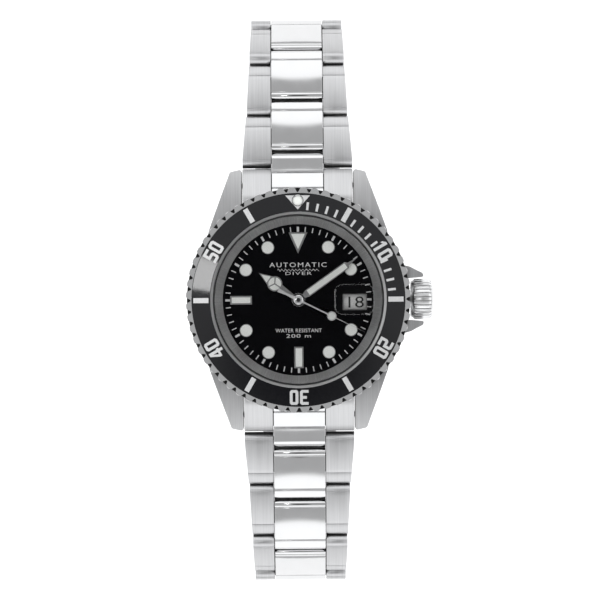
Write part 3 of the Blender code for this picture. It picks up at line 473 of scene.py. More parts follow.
# %% Clear crystal
def sapphire(name, tint, ior):
    place, end = new_finish(name)
    clear_part = place.node("BsdfTransparent", {}, {"Color": (tint, tint, tint, 1.0)})
    gloss = place.node("BsdfGlossy", {}, {"Roughness": 0.02})
    share = place.node("Fresnel", {}, {"IOR": ior})
    film = noise(place, 300.0, 3.0)
    return end(place.node("MixShader", {}, {0: share * (film * 0.2 + 0.9), 1: clear_part, 2: gloss}))


SAPPHIRE = sapphire("sapphire_clear", 0.99, 1.28)
LENS = sapphire("sapphire_magnifier", 0.97, 1.50)
print("sapphire is clear")

# %% [markdown]
# ## Inside the case
#
# The movement's plates are brass and rhodium-plated brass, grained and striped by hand before they are
# plated. Nobody sees them with the back on, but the pieces are there, so they get their finish.

# %% Movement metals
def striped(name, low, high, rough):
    """Broad stripes with fine lines in them, as on a decorated bridge."""
    place, end = new_finish(name)
    x, y, _ = axes(place)
    stripe = (x + y).sum("PINGPONG", (x + y) * 700.0, 1.0)
    fine = noise(place, 1.0, 2.0, (4000.0, 4000.0, 200.0))
    bump = place.node("Bump", {}, {"Strength": 0.25, "Distance": 0.00002, "Height": stripe + fine * 0.4})
    return end(place.node("BsdfPrincipled", {}, {
        "Base Color": blend(place, low, high, fine), "Metallic": 1.0, "Roughness": stripe * 0.10 + rough,
        "Normal": bump}))


BRASS = striped("brass_grained", (0.58, 0.43, 0.19), (0.74, 0.58, 0.30), 0.26)
RHODIUM = striped("rhodium_striped", (0.54, 0.54, 0.56), (0.68, 0.68, 0.70), 0.20)

plain = {
    "case_back_gasket": RUBBER, "crystal_gasket": NYLON, "crown_tube": CIRCULAR, "spring_bar_12": SPRING,
    "spring_bar_6": SPRING, "main_plate": BRASS, "movement_bridge": RHODIUM, "mainspring_barrel": BRASS,
    "bezel_click_spring": SPRING, "winding_stem": SPRING, "rotor": RHODIUM, "balance_wheel": BRASS,
    "clasp_end_pin": SPRING, "clasp_spring_bar": SPRING}
for side, count in (("12", 7), ("6", 6)):
    for i in range(count):
        plain["link_pin_%s_%d" % (side, i + 1)] = SPRING
for name, finish in plain.items():
    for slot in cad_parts[name].material_slots:
        slot.material = finish
print("%d carried-over pieces have their finish" % len(plain))
# %% [markdown]
# ## The table, the light and the camera
#
# Product shots of steel are lit by what surrounds it, because polished steel shows nothing but its
# surroundings. Here a white room is everywhere except overhead: straight up is the dark front of the
# camera, and round that a grey ceiling with straight edges. That is why flat tops look grey, tilted
# faces look white, and the dial stays black. Near the floor the walls are dimmer, to keep upright sides
# from going white. One small panel above the left gives the bezel its soft patch of light. The table is
# well below, because the bracelet and clasp hang down when they are opened.

# %% A pale table
clear()
bpy.ops.mesh.primitive_circle_add(vertices=64, radius=1.6, fill_type="NGON", location=(0, 0, -0.110))
table = bpy.context.object
table.name = "table"
edit(table)
bpy.ops.mesh.inset(thickness=0.6)
clear()
place, end = new_finish("table_white")
cloudy = noise(place, 3.0)
paint(table, end(place.node("BsdfPrincipled", {}, {
    "Base Color": blend(place, (0.90, 0.90, 0.90), (0.92, 0.92, 0.92), cloudy), "Roughness": 0.9,
    "Emission Color": (1.0, 1.0, 1.0, 1.0), "Emission Strength": 0.35})))
print("the table is at z -110 mm, clear of an open bracelet")

# %% White room, grey ceiling, dark camera overhead
room = bpy.data.worlds.new("studio")
bpy.context.scene.world = room
room.use_nodes = True
tree = room.node_tree
tree.nodes.clear()
look = Wire(tree).node("TexCoord", {}, {}, "Generated")
across, along, up = axes(look)
lean = look.node("VectorMath", {"operation": "DOT_PRODUCT"}, {0: look, 1: (0.0, -0.035, 0.9994)}, 1)


def ramp(value, start, stop):
    """0 below start, 1 above stop, smooth between."""
    return value.node("MapRange", {"interpolation_type": "SMOOTHSTEP"},
                      {"Value": value, "From Min": start, "From Max": stop})


long_side = ramp(along.sum("ABSOLUTE", along, 0.0), 0.49, 0.53)
short_side = ramp(across.sum("ABSOLUTE", across, 0.0), 0.46, 0.56)
ceiling = (1.0 - long_side) * (1.0 - short_side)
camera_front = ramp(lean, 0.9795, 0.9865)
low_walls = 1.0 - ramp(up, 0.20, 0.42)
strength = 1.42 - ceiling * 0.92 * ramp(up, 0.2, 0.4) - camera_front * 0.47 - low_walls * 0.85
sky = tree.nodes.new("ShaderNodeBackground")
sky.inputs["Color"].default_value = (0.985, 0.992, 1.0, 1.0)
tree.links.new(strength.socket, sky.inputs["Strength"])
out = tree.nodes.new("ShaderNodeOutputWorld")
tree.links.new(sky.outputs[0], out.inputs["Surface"])
bpy.context.scene.view_settings.view_transform = "Standard"


def panel(name, x, y, z, width, depth, power):
    """A flat light that faces the watch, in millimetres."""
    clear()
    bpy.ops.object.light_add(type="AREA", location=(x * MM, y * MM, z * MM))
    light = bpy.context.object
    light.name = name
    light.data.shape = "RECTANGLE"
    light.data.size = width * MM
    light.data.size_y = depth * MM
    light.data.energy = power
    target = -light.location
    light.rotation_euler = target.to_track_quat("-Z", "Y").to_euler()
    return light


panel("left_panel", -94, 26, 430, 34, 40, 0.04)
print("one room, one panel")

# %% The camera looks straight down
clear()
bpy.ops.object.camera_add(location=(0.28 * MM, -0.03 * MM, 461 * MM), rotation=(0, 0, math.radians(-0.45)))
camera = bpy.context.object
camera.data.sensor_width = 36.0
camera.data.lens = 152.5
camera.data.clip_start = 0.01
camera.data.clip_end = 20.0
bpy.context.scene.camera = camera
print("the camera stands %.0f mm above the case back" % (camera.location.z / MM))
# %% [markdown]
# ## The case
#
# The case is one block of steel: a round middle with four lugs and two guards beside the crown. Seen
# from above it is a flat outline, and from the side the lugs curve down to the wrist. So it is cut the
# way a case maker blanks and mills it: the outline as a thick plate, met with its side view, and then
# bored. The tops are brushed along the bracelet and the flanks are polished.

# %% Outline and side view of the case
CASE_R, NECK_R, BAY_R = 19.3, 16.8, 17.6
LUG_IN, LUG_OUT, LUG_TIP = 10.05, 12.3, 23.4
CASE_TOP, CROWN_Z = 8.0, 4.8
PIN_HOLE_R = 0.68


def quarter(crown_side):
    """From the 3 (or 9) o'clock line, round one lug, to the 12 o'clock line."""
    guard, start = [], 0.0
    if crown_side:
        start = math.degrees(math.asin(6.2 / CASE_R))
        guard = [(19.6, 0.0), (19.6, 3.7), (21.9, 3.9)] + arc(21.7, 4.2, 0.6, -20, 70, 5)
        guard += [(21.1, 5.15), (20.0, 5.75)]
    lug = [(15.9, 12.4), (LUG_OUT, LUG_TIP - 0.9)] + arc(LUG_OUT - 0.6, LUG_TIP - 0.9, 0.6, 12, 88, 5)
    tip = arc(LUG_IN + 0.4, LUG_TIP - 0.4, 0.4, 90, 180, 4)
    bay = arc(0, 0, BAY_R, math.degrees(math.acos(LUG_IN / BAY_R)), 90, 12)
    return guard + arc(0, 0, CASE_R, start, 33, 8) + lug + tip + bay


crown_half, plain_half = quarter(True), quarter(False)
half = crown_half + [(-x, y) for x, y in reversed(plain_half[:-1])]
outline = half + [(x, -y) for x, y in reversed(half[1:-1])]
case = trace("case_middle", [outline], -1, 9)

top = [(13.0 + 10.9 * t, CASE_TOP - 3.6 * t ** 1.8) for t in [i / 9 for i in range(10)]]
under = [(23.2, 0.5), (21.0, 0.5), (BAY_R, 1.36)]
profile = top + under + [(-y, z) for y, z in reversed(top + under)]
carve(case, trace("case_side", [profile], -24, 24, side=True), "INTERSECT")
carve(case, turn("case_bore", [(0, 9.5), (15.9, 9.5), (15.9, 7.66), (14.6, 7.66), (14.6, 2.8), (15.4, 2.8),
                               (15.4, 0.3), (0, 0.3)], 96))
carve(case, rod("tube_hole", 0, CROWN_Z, 1.26, 13, 25, 24))
print("the case blank has %d faces" % len(case.data.polygons))

# %% Soften it, add the neck, and finish tops and flanks
soften(case, 0.16, 2, 32)
paint(case, BRUSHED)
repaint(case, POLISHED, lambda c, n: abs(n.z) < 0.55 and (math.hypot(c.x, c.y) > 18.2 or abs(c.x) > 10.3))
# The lugs' inner faces, which look at the end links, get painted shade.
repaint(case, PAINTED_SHADE_AND_PRINT, lambda c, n: abs(c.y) > 15 and 9.9 < abs(c.x) < 10.25 and c.x * n.x < -2.0)
neck = turn("case_neck", [(NECK_R, 9.9), (NECK_R, 7.4), (15.2, 7.4), (15.2, 9.9)], 128)
soften(neck, 0.08)
case = unite("case_middle", case, paint(neck, CIRCULAR))
hang(case, "case", "brushed_steel", "mid_case")

# %% [markdown]
# ## The case back
#
# The back screws into the case with a tool that grips six notches. It is a turned cup, so it is spun
# from its section, and the notches are one block copied round and cut away. Its face is brushed in
# rings. The lettering on it is plain information, and stands a hair proud of the outer ring.

# %% The screw-down back
back = turn("case_back_screwed", [
    (0, 1.2), (14.0, 1.2), (14.0, 2.6), (15.2, 2.6), (15.2, 1.3), (16.5, 1.3), (16.5, 0.5), (16.1, 0.12),
    (15.3, 0), (12.3, 0), (12.15, 0.1), (11.95, 0.1), (11.8, 0), (0, 0)], 128)
notch = trace("notch", [rounded(0, 16.5, 2.0, 2.0, 0.25, 3)], -1.6, 0.4)
carve(back, around("notches", notch, [60 * i for i in range(6)]))
print("the back has %d faces" % len(back.data.polygons))
soften(back, 0.06, 2, 30, False)
hang(paint(back, CIRCULAR), "case", "brushed_steel", "case_back")


LETTER_THICK = 0.02


def write(name, words, height, finish, width=None, spread=1.0):
    """One line of lettering in millimetres, centred on the origin and standing on z 0."""
    clear()
    bpy.ops.object.text_add()
    line = bpy.context.object
    line.name = name
    line.data.body = words
    line.data.align_x = "CENTER"
    line.data.size = 1.0
    line.data.resolution_u = 3
    line.data.space_character = spread
    line.data.extrude = LETTER_THICK / 2 / (height / 0.70)
    bpy.ops.object.convert(target="MESH")
    line = bpy.context.object
    grow = height / 0.70
    wide = grow if width is None else width / line.dimensions.x
    line.scale = (wide * MM, grow * MM, grow * MM)
    line.location = (0, 0, LETTER_THICK / 2 * MM)
    bpy.ops.object.transform_apply()
    return paint(clean(line), finish)


words = "STAINLESS STEEL   WATER RESISTANT 200 M   AUTOMATIC"
letters = []
for i, letter in enumerate(words):
    if letter != " ":
        mark = write("back_letter", letter, 1.1, PAINTED_SHADE_AND_PRINT)
        put(mark, turn_y=180)
        angle = 180 - 300 / len(words) * (i - len(words) / 2)
        letters.append(put(put(mark, y=13.4, z=0.01), turn_z=angle))
hang(unite("case_back_lettering", *letters), "case", "brushed_steel")

# %% [markdown]
# ## The end links
#
# An end link fills the bay between two lugs and follows the round of the case. Its outer parts are
# brushed and slope down with the lugs, and its middle is a polished tongue that takes the first link.
# The section along the bracelet gives all the slopes, so it is drawn once from the side for each strip,
# raised to its width, and met with the case by cutting away a cylinder.

# %% One end link, turned round for the other side
outer_side = [(14.4, 2.5), (20.6, 1.9), (23.5, 2.2), (23.5, 4.85), (23.3, 5.1), (22.4, 5.62), (21.2, 6.2),
              (20.0, 6.75), (19.0, 7.2), (18.1, 7.5), (14.4, 7.6)]
middle_side = [(14.4, 2.6), (20.6, 2.0)] + arc(25.1, 3.6, 1.4, -90, 60, 9) + [
    (25.3, 4.93), (24.5, 5.02), (23.25, 5.28), (22.92, 5.38), (22.84, 5.22), (22.72, 5.46), (21.2, 6.2),
    (20.15, 6.72), (20.05, 6.5), (19.9, 6.85), (19.0, 7.25), (18.1, 7.58), (14.4, 7.6)]

BAY_CUTTER = [(0, 9), (17.8, 9), (17.8, 0), (0, 0)]
FIRST_PIN = (25.1, 3.6)


def end_link(name):
    strips = []
    for side in (1, -1):
        strip = wing("end_strip", [outer_side], side, 4.72, 9.85)
        carve(strip, turn("bay", BAY_CUTTER, 128))
        soften(strip, 0.12, 2, 28)
        # Faces that look along the bracelet and the side faces get painted shade.
        strips.append(repaint(paint(strip, BRUSHED), PAINTED_SHADE_AND_PRINT, lambda c, n: n.y > 0.8 or abs(n.x) > 0.5))
    strip = trace("end_middle", [middle_side], -4.6, 4.6, side=True)
    carve(strip, turn("bay", BAY_CUTTER, 128))
    carve(strip, rod("pin_hole", *FIRST_PIN, PIN_HOLE_R, -6, 6))
    soften(strip, 0.08, 2, 28)
    # The tongue's sides get painted shade.
    strips.append(repaint(paint(strip, POLISHED), PAINTED_SHADE_AND_PRINT, lambda c, n: abs(n.x) > 0.8))
    web = trace("end_web", [[(17.9, 3.0), (22.6, 3.0), (22.6, 4.2), (17.9, 5.2)]], -5.2, 5.2, side=True)
    carve(web, rod("bar_hole", 20.6, 3.2, 0.7, -6, 6))
    # The hidden web is painted dark, as shade seen through the gaps.
    strips.append(paint(web, PAINTED_SHADE_AND_PRINT))
    return unite(name, *strips)


for label, angle in (("12", 0), ("6", 180)):
    hang(put(end_link("end_link_fitted_" + label), turn_z=angle), "case", "brushed_steel",
         "end_link_" + label)
# %% [markdown]
# ## The coin edge
#
# A diver turns the bezel with wet fingers, so its rim is cut into sixty round lobes with a narrow notch
# between each pair. One lobe is drawn as an outline and repeated round the circle before the ring is
# raised. A turned section then takes off the corner that slopes down to the lobes, and the inside is
# bored for the scale. A band under the lobes closes the notches, and it and the notch walls carry painted
# shade.

# %% The bezel ring
TEETH = 60


def lobe(middle):
    """One rounded lobe, as angles in degrees and radii."""
    shape = [(-2.95, 19.08), (-2.45, 19.20), (-2.05, 19.50), (-1.70, 19.76), (-1.10, 19.93), (0.0, 20.0),
             (1.10, 19.93), (1.70, 19.76), (2.05, 19.50), (2.45, 19.20), (2.95, 19.08)]
    return [arc(0, 0, r, middle + a, middle + a, 1)[0] for a, r in shape]


edge = []
for i in range(TEETH):
    edge += lobe(360 / TEETH * (i + 0.5))
ring = trace("bezel_coin_edge", [edge, circle(0, 0, 15.75, 120)], 8.3, 11.0, flat=0.5)
carve(ring, turn("bezel_room", [(0, 10.0), (16.9, 10.0), (16.9, 8.0), (0, 8.0)], 128))
carve(ring, turn("scale_room", [(0, 12.0), (18.95, 12.0), (18.95, 10.45), (0, 10.45)], 128))
slope = [(18.8, 11.3), (21, 11.3), (21, 10.40), (20.04, 10.55), (19.92, 10.74), (18.8, 10.96)]
carve(ring, turn("slope_cutter", slope, 120))
carve(ring, turn("under_cutter", [(19.1, 8.0), (21, 8.0), (21, 8.95), (19.2, 8.45)], 120))
smooth(soften(ring, 0.04, 1, 40), 15)
paint(ring, POLISHED)


# Faces inside the notches, which get painted shade.
def in_a_notch(c, n):
    radius = math.hypot(c.x, c.y)
    outward = (c.x * n.x + c.y * n.y) / radius
    return abs(n.z) < 0.5 and radius > 19.0 and (outward < 0.80 or radius < 19.4)


repaint(ring, PAINTED_SHADE_AND_PRINT, in_a_notch)
# A ring under the lobes, painted dark as shade, closes the notches.
shade_band = trace("painted_shade_band_under_lobes", [circle(0, 0, 19.82, 120), circle(0, 0, 18.9, 120)], 8.75, 9.35)
hang(unite("bezel_coin_edge", ring, paint(smooth(shade_band, 30), PAINTED_SHADE_AND_PRINT)), "bezel", "polished_steel",
     "rotating_bezel")

# %% [markdown]
# ## The scale
#
# The black insert is a shallow cone, higher at the crystal, so that it sheds light outwards. Its marks
# count minutes: fine ones for the first fifteen, a bar every five, a number every ten, and a triangle
# at the start. Numbers are cut square, which no ordinary letter style is, so each digit is drawn as one
# outline on a grid. Each mark is made flat at 12 o'clock, tipped to lie on the cone, and swung round.

# %% Black insert with a polished edge
insert = turn("scale_insert", [(18.86, 10.88), (18.89, 10.84), (18.89, 10.51), (15.65, 10.51),
                               (15.65, 11.10), (15.70, 11.146)], 180)
pit = turn("pearl_pit", [(0, 11.6), (1.02, 11.6), (1.02, 10.62), (0, 10.62)], 32)
carve(insert, put(pit, y=17.6))
smooth(insert, 30)
hang(paint(insert, CERAMIC), "bezel", "bezel_insert", "bezel_insert")

# %% Marks, numbers and triangle
SCALE_R, CONE = 17.27, 4.41


def on_scale(mark, angle):
    """Lay a flat mark on the cone at 12 o'clock, then swing it to a clock angle."""
    put(mark, turn_x=-CONE)
    put(mark, y=SCALE_R, z=11.15 - (SCALE_R - 15.65) * math.tan(math.radians(CONE)) + 0.004)
    return put(mark, turn_z=-angle)


W, H, S = 1.52, 2.65, 0.50
DIGITS = {
    "0": [[(0, .3), (.3, 0), (W - .3, 0), (W, .3), (W, H - .3), (W - .3, H), (.3, H), (0, H - .3)],
          [(S, S), (W - S, S), (W - S, H - S), (S, H - S)]],
    "1": [[(.62, 0), (1.14, 0), (1.14, H), (.72, H), (.22, H - .55), (.22, H - .95), (.62, H - .68)]],
    "2": [[(0, 0), (W, 0), (W, S), (S, S), (S, 1.1), (W, 1.1), (W, H - .3), (W - .3, H), (0, H),
           (0, H - S), (W - S, H - S), (W - S, 1.6), (.3, 1.6), (0, 1.3)]],
    "3": [[(0, 0), (W - .3, 0), (W, .3), (W, H - .3), (W - .3, H), (0, H), (0, H - S), (W - S, H - S),
           (W - S, 1.57), (.3, 1.57), (.3, 1.08), (W - S, 1.08), (W - S, S), (0, S)]],
    "4": [[(W - S - .12, 0), (W - .12, 0), (W - .12, .62), (W + .08, .62), (W + .08, 1.05), (W - .12, 1.05),
           (W - .12, H), (W - .72, H), (0, 1.05), (0, .62), (W - S - .12, .62)],
          [(.48, 1.05), (W - S - .12, 1.05), (W - S - .12, 1.95)]],
    "5": [[(0, 0), (W - .3, 0), (W, .3), (W, 1.3), (W - .3, 1.6), (S, 1.6), (S, H - S), (W, H - S), (W, H),
           (0, H), (0, 1.1), (W - S, 1.1), (W - S, S), (0, S)]]}
marks = []
for number in (10, 20, 30, 40, 50):
    for digit, shift in zip(str(number), (-W - 0.14, 0.14)):
        outlines = [[(x + shift, y - H / 2) for x, y in line] for line in DIGITS[digit]]
        marks.append(on_scale(trace("digit", outlines, 0, 0.025), number * 6))
for minute in list(range(1, 15)) + [15, 25, 35, 45, 55]:
    long_mark = minute % 5 == 0
    if minute == 10:
        continue
    width, length, middle = (0.90, 2.70, 0.0) if long_mark else (0.42, 1.40, -0.62)
    bar = trace("bar", [box(-width / 2, middle - length / 2, width / 2, middle + length / 2)], 0, 0.025)
    marks.append(on_scale(bar, minute * 6))
triangle = [(-2.2, 1.23), (0, -1.28), (2.2, 1.23)]
marks.append(on_scale(trace("triangle", [triangle, circle(0, 0.33, 1.04, 32)], 0, 0.025), 0))
scale = paint(unite("scale_marks", *marks), SCALE_SILVER)
hang(scale, "bezel", "bezel_insert")

# %% [markdown]
# ## The pearl
#
# At the start of the scale a drop of lume sits in a small steel cup. It is spun like any turned part,
# the cup from a thin section and the drop from a dome.

# %% Lume drop in its cup
drop = turn("pearl_drop", [(0, 11.20), (0.35, 11.18), (0.60, 11.12), (0.76, 11.02), (0.78, 10.72),
                           (0, 10.72)], 32)
cup = turn("pearl_cup", [(0.92, 11.04), (0.92, 10.68), (0.79, 10.68), (0.79, 11.04), (0.85, 11.09)], 32)
pearl = unite("scale_pearl", paint(smooth(drop, 60), LUME), paint(smooth(cup, 30), POLISHED))
hang(put(pearl, y=17.6), "bezel", "lume", "bezel_pearl")
# %% [markdown]
# ## The crystal and its magnifier
#
# The crystal is a flat disc of sapphire with a turned edge, and a small lens is cemented over the date.
# The crystal's sloped edge is part of its section, and the lens gets its edge from a bevel. Those
# polished edges are all that shows.

# %% Crystal and lens
glass = turn("crystal_clear", [(0, 11.56), (14.35, 11.56), (14.72, 11.40), (14.85, 11.2), (14.85, 9.56),
                               (0, 9.56)], 160)
hang(paint(smooth(glass, 15), SAPPHIRE), "case", "sapphire", "crystal")
lens = trace("date_magnifier", [rounded(9.9, 0, 7.0, 5.6, 1.5, 8)], 11.62, 12.22)
soften(lens, 0.24, 2, 40)
hang(paint(smooth(lens, 15), LENS), "case", "sapphire", "cyclops_lens")

# %% [markdown]
# ## The sloping ring round the dial
#
# Between the dial and the crystal a steel ring slopes up, brushed outwards from the middle. A thin
# bright edge at its top meets the crystal. The minute divisions are cuts on the real ring. Here they are
# thin bright strips laid on the slope, which look the same and leave the ring whole.

# %% Sloping ring with its cuts
slope_ring = turn("dial_ring", [(14.8, 9.5), (15.1, 9.5), (15.1, 7.72), (13.5, 7.72), (13.5, 7.9)], 160)
smooth(slope_ring, 30)
paint(slope_ring, RADIAL)
lip = turn("dial_ring_lip", [(15.16, 9.54), (15.16, 9.46), (14.92, 9.46), (14.92, 9.54)], 160)
paint(lip, POLISHED)
cut_mark = trace("ring_cut", [box(-0.07, -0.62, 0.07, 0.62)], 0, 0.02)
put(cut_mark, turn_x=math.degrees(math.atan2(1.6, 1.3)))
put(cut_mark, y=14.15, z=8.74)
cuts = around("ring_cuts", cut_mark, [6 * i for i in range(60)])
paint(cuts, BRIGHT_SILVER)
hang(unite("dial_ring_sloping", slope_ring, lip, cuts), "case", "brushed_steel", "inner_ring")

# %% [markdown]
# ## The dial
#
# The dial is a thin brass plate under deep black lacquer. The date opening is cut through it at 3
# o'clock, with a sloped bright frame. Hour marks are applied pieces: a metal rim as a wall, filled with
# lume that stands a little lower. Each shape is drawn once and swung to its hour.

# %% Lacquered plate and the date's frame
DIAL_Z = 7.6
window = rounded(10.05, -0.45, 4.05, 2.6, 0.12, 3)
plate = trace("dial_lacquered", [circle(0, 0, 14.25, 160), circle(0, 0, 1.05, 32), window], 7.2, DIAL_Z)
smooth(plate, 20)
paint(plate, LACQUER)
frame_rim = trace("date_frame", [rounded(10.05, -0.45, 4.35, 2.9, 0.16, 3),
                                 rounded(10.05, -0.45, 3.99, 2.54, 0.10, 3)],
                  7.35, DIAL_Z + 0.04)
hang(unite("dial_lacquered", plate, paint(frame_rim, HAND_SILVER)), "case", "dial_black", "dial")

# %% Applied hour marks
def applied(name, outer, inner):
    """A metal rim round a bed of lume, flat at the dial's centre."""
    rim = trace(name, [outer, inner], DIAL_Z - 0.02, DIAL_Z + 0.26)
    soften(rim, 0.05, 1, 50)
    bed = trace(name + "_lume", [inner], DIAL_Z - 0.02, DIAL_Z + 0.22)
    return unite(name, paint(rim, HAND_SILVER), paint(bed, LUME))


hours = []
dot = put(applied("hour_dot", circle(0, 0, 1.17, 40), circle(0, 0, 1.04, 40)), y=10.8)
hours.append(around("hour_dots", dot, [30 * h for h in range(12) if h not in (0, 3, 6, 9)]))
hours.append(applied("hour_triangle", [(-1.72, 12.05), (0, 8.2), (1.72, 12.05)],
                     [(-1.22, 11.77), (0, 9.02), (1.22, 11.77)]))
hours.append(applied("hour_six", box(-0.86, -12.2, 0.86, -8.35), box(-0.58, -11.92, 0.58, -8.63)))
hours.append(applied("hour_nine", box(-12.2, -0.79, -8.28, 0.79), box(-11.92, -0.51, -8.56, 0.51)))
hang(unite("dial_hour_marks", *hours), "case", "lume")

# %% [markdown]
# ## Printing on the dial
#
# The minute track and the words are printed by a soft pad, one thin coat of silver-white. The words say
# only what kind of watch this is. The wavy line between them is a plain pen flourish, drawn as two edges
# of one ribbon.

# %% Track, words and flourish
tick = trace("tick", [box(-0.09, 12.15, 0.09, 13.05)], DIAL_Z, DIAL_Z + 0.02)
wide_tick = trace("wide_tick", [box(-0.20, 12.15, 0.20, 13.05)], DIAL_Z, DIAL_Z + 0.02)
fives = [6 * i for i in range(60) if i % 5 == 0]
printed = [around("ticks", tick, [6 * i for i in range(60) if i % 5]), around("wide_ticks", wide_tick, fives)]


def dial_line(words, y, height, width, spread=1.0):
    return put(write("dial_line", words, height, WHITE_PAINT, width, spread), y=y, z=DIAL_Z)


printed.append(dial_line("AUTOMATIC", 5.85, 0.82, 10.2, 1.25))
printed.append(dial_line("DIVER", 4.45, 0.56, 4.7, 1.2))
printed.append(dial_line("WATER RESISTANT", -5.80, 0.68, 8.25, 1.05))
printed.append(dial_line("200 m", -6.75, 0.66, 4.4, 1.1))
steps = 120
wave = [(-3.7 + 7.4 * i / steps, 5.32 + 0.19 * math.sin(0.62 * i) * (1 - 0.35 * i / steps))
        for i in range(steps + 1)]
ribbon = [(x, y + 0.05 + 0.02 * math.sin(0.31 * i)) for i, (x, y) in enumerate(wave)]
ribbon += [(x, y - 0.055) for x, y in reversed(wave)]
printed.append(trace("flourish", [ribbon], DIAL_Z, DIAL_Z + 0.02))
hang(paint(unite("dial_printing", *printed), WHITE_PAINT), "case", "dial_black")

# %% [markdown]
# ## The date disc
#
# A white ring under the dial carries thirty-one numbers that read upright as each comes to 3 o'clock.
# The lens over the window enlarges the one that shows, so that number is made at the size the lens
# gives it, and the rest at the size they are printed.

# %% White ring and thirty-one numbers
TODAY = 18
disc = turn("date_ring", [(12.4, 7.0), (12.4, 6.7), (7.9, 6.7), (7.9, 7.0)], 124)
paint(smooth(disc, 30), DATE_WHITE)
numbers = []
for day in range(1, 32):
    height, width = (2.0, 2.75) if day == TODAY else (1.1, 1.5)
    if day < 10:
        width /= 2.2
    number = write("date_%d" % day, str(day), height, BLACK_PAINT, width)
    put(number, x=10.0, y=-height / 2 - 0.45, z=7.0)
    numbers.append(put(number, turn_z=(day - TODAY) * 360 / 31))
hang(unite("date_ring_numbered", disc, *numbers), "date_disc", "date_white", "date_disc")

# %% [markdown]
# ## The hands
#
# Divers' hands are bold frames of polished steel filled with lume, each a different shape so that they
# can't be confused in the dark: a disc on the hour hand, a broad baton on the minute hand and a small
# dot on the seconds hand. Each frame is a plate with openings, the lume fills them from below, and a
# turned pipe joins it to its arbor. The hubs hide the middle, so the blades are left solid there and
# the pipes pass through them. All are drawn at 12 o'clock and swung to the time.

# %% Frame, filling and pipe of each hand
def watch_hand(name, outline, windows, low, pipe, clock, hub, slot_node, finish=HAND_SILVER):
    blade = trace(name, [outline] + windows, low, low + 0.16)
    soften(blade, 0.035, 1, 50)
    parts = [paint(blade, finish)]
    for window in windows:
        parts.append(paint(trace(name + "_lume", [window], low + 0.02, low + 0.13), LUME))
    parts.append(paint(smooth(turn(name + "_pipe", pipe, 40), 35), POLISHED))
    parts.append(paint(smooth(turn(name + "_hub", hub, 48), 35), POLISHED))
    return hang(put(unite(name, *parts), turn_z=-clock), slot_node, "polished_steel", slot_node)


def sector(x, y, radius, start, end, gap):
    """A pie slice pulled back from its neighbours by a gap."""
    middle = math.radians((start + end) / 2)
    back = gap / math.sin(math.radians((end - start) / 2))
    return [(x + back * math.cos(middle), y + back * math.sin(middle))] + arc(
        x, y, radius, start + math.degrees(gap / radius), end - math.degrees(gap / radius), 12)


hour = [(-0.30, 1.05)] + arc(0, 5.1, 1.36, 244, 132, 20) + [(0, 8.5)] + arc(0, 5.1, 1.36, 48, -64, 20)
hour += [(0.30, 1.05)] + arc(0, 0, 1.1, 70, -250, 30)
slices = [sector(0, 5.1, 1.14, a, a + 120, 0.11) for a in (30, 150, 270)]
tip = [(-0.66, 6.42), (0, 8.05), (0.66, 6.42)]
watch_hand("hour_hand_framed", hour, slices + [tip], 7.95,
           [(0.95, 8.0), (0.95, 6.7), (0.75, 6.7), (0.75, 8.0)], 304.6,
           [(1.12, 8.17), (1.22, 8.08), (1.12, 7.99), (0.76, 7.99), (0.76, 8.17)], "hour_hand")
minute = [(-0.34, 1.05), (-0.675, 1.9), (-0.675, 10.6), (-0.28, 10.95), (0, 13.1), (0.28, 10.95),
          (0.675, 10.6), (0.675, 1.9), (0.34, 1.05)] + arc(0, 0, 1.1, 70, -250, 30)
filling = [(-0.49, 2.15), (-0.49, 10.45), (0.49, 10.45), (0.49, 2.15)]
watch_hand("minute_hand_framed", minute, [filling], 8.32,
           [(0.65, 8.4), (0.65, 6.7), (0.45, 6.7), (0.45, 8.4)], 54.7,
           [(1.10, 8.53), (1.18, 8.46), (1.10, 8.36), (0.46, 8.36), (0.46, 8.53)], "minute_hand")
seconds = [(-0.12, 5.80)] + arc(0, 6.6, 0.82, 262, 98, 16) + [(-0.07, 7.5), (0, 13.4), (0.07, 7.5)]
seconds += arc(0, 6.6, 0.82, 82, -82, 16) + [(0.12, 5.80), (0.12, 1.1)] + arc(0, 0, 0.85, 70, -70, 12)
seconds += [(0.2, -2.4), (0.36, -4.0), (-0.36, -4.0), (-0.2, -2.4)] + arc(0, 0, 0.85, 250, 110, 12)
seconds += [(-0.12, 1.1)]
watch_hand("seconds_hand_framed", seconds, [circle(0, 6.6, 0.62, 24)], 8.69,
           [(0, 8.7), (0.35, 8.7), (0.35, 6.7), (0, 6.7)], 116.3,
           [(0, 9.05), (0.38, 9.05), (0.40, 8.95), (0.62, 8.93), (0.82, 8.86), (0.84, 8.78), (0, 8.78)],
           "seconds_hand", BRIGHT_SILVER)
# %% [markdown]
# ## The crown
#
# The crown is what a finger and thumb turn, so its side is fluted. A fluted outline is drawn end on and
# raised to the crown's length, then met with a turned body that rounds its ends. A ring groove on the
# face marks it as one that screws down.

# %% Fluted crown
FLUTES = 30
flutes = []
for i in range(FLUTES):
    a = 360 * i / FLUTES
    flutes += [arc(0, 0, r, a + d, a + d, 1)[0] for d, r in (
        (-3.9, 3.60), (-1.6, 3.60), (1.6, 3.60), (3.9, 3.60), (5.1, 3.42), (6.0, 3.34), (6.9, 3.42))]
crown = trace("crown_fluted", [flutes], 20.1, 24.2, flat=0.2)
body = turn("crown_body", [(0, 24.2), (1.5, 24.2), (2.55, 24.14), (3.05, 23.98), (3.42, 23.66), (3.62, 23.2),
                           (3.62, 20.85), (3.36, 20.5), (3.1, 20.1), (1.32, 20.1), (1.32, 21.9), (0.56, 21.9),
                           (0.56, 23.3), (0, 23.3)], 120)
carve(crown, body, "INTERSECT")
groove = turn("crown_groove", [(2.35, 24.4), (2.35, 24.02), (2.1, 24.02), (2.1, 24.4)], 64)
carve(crown, groove)
soften(crown, 0.03, 1, 45, False)
paint(crown, SATIN)
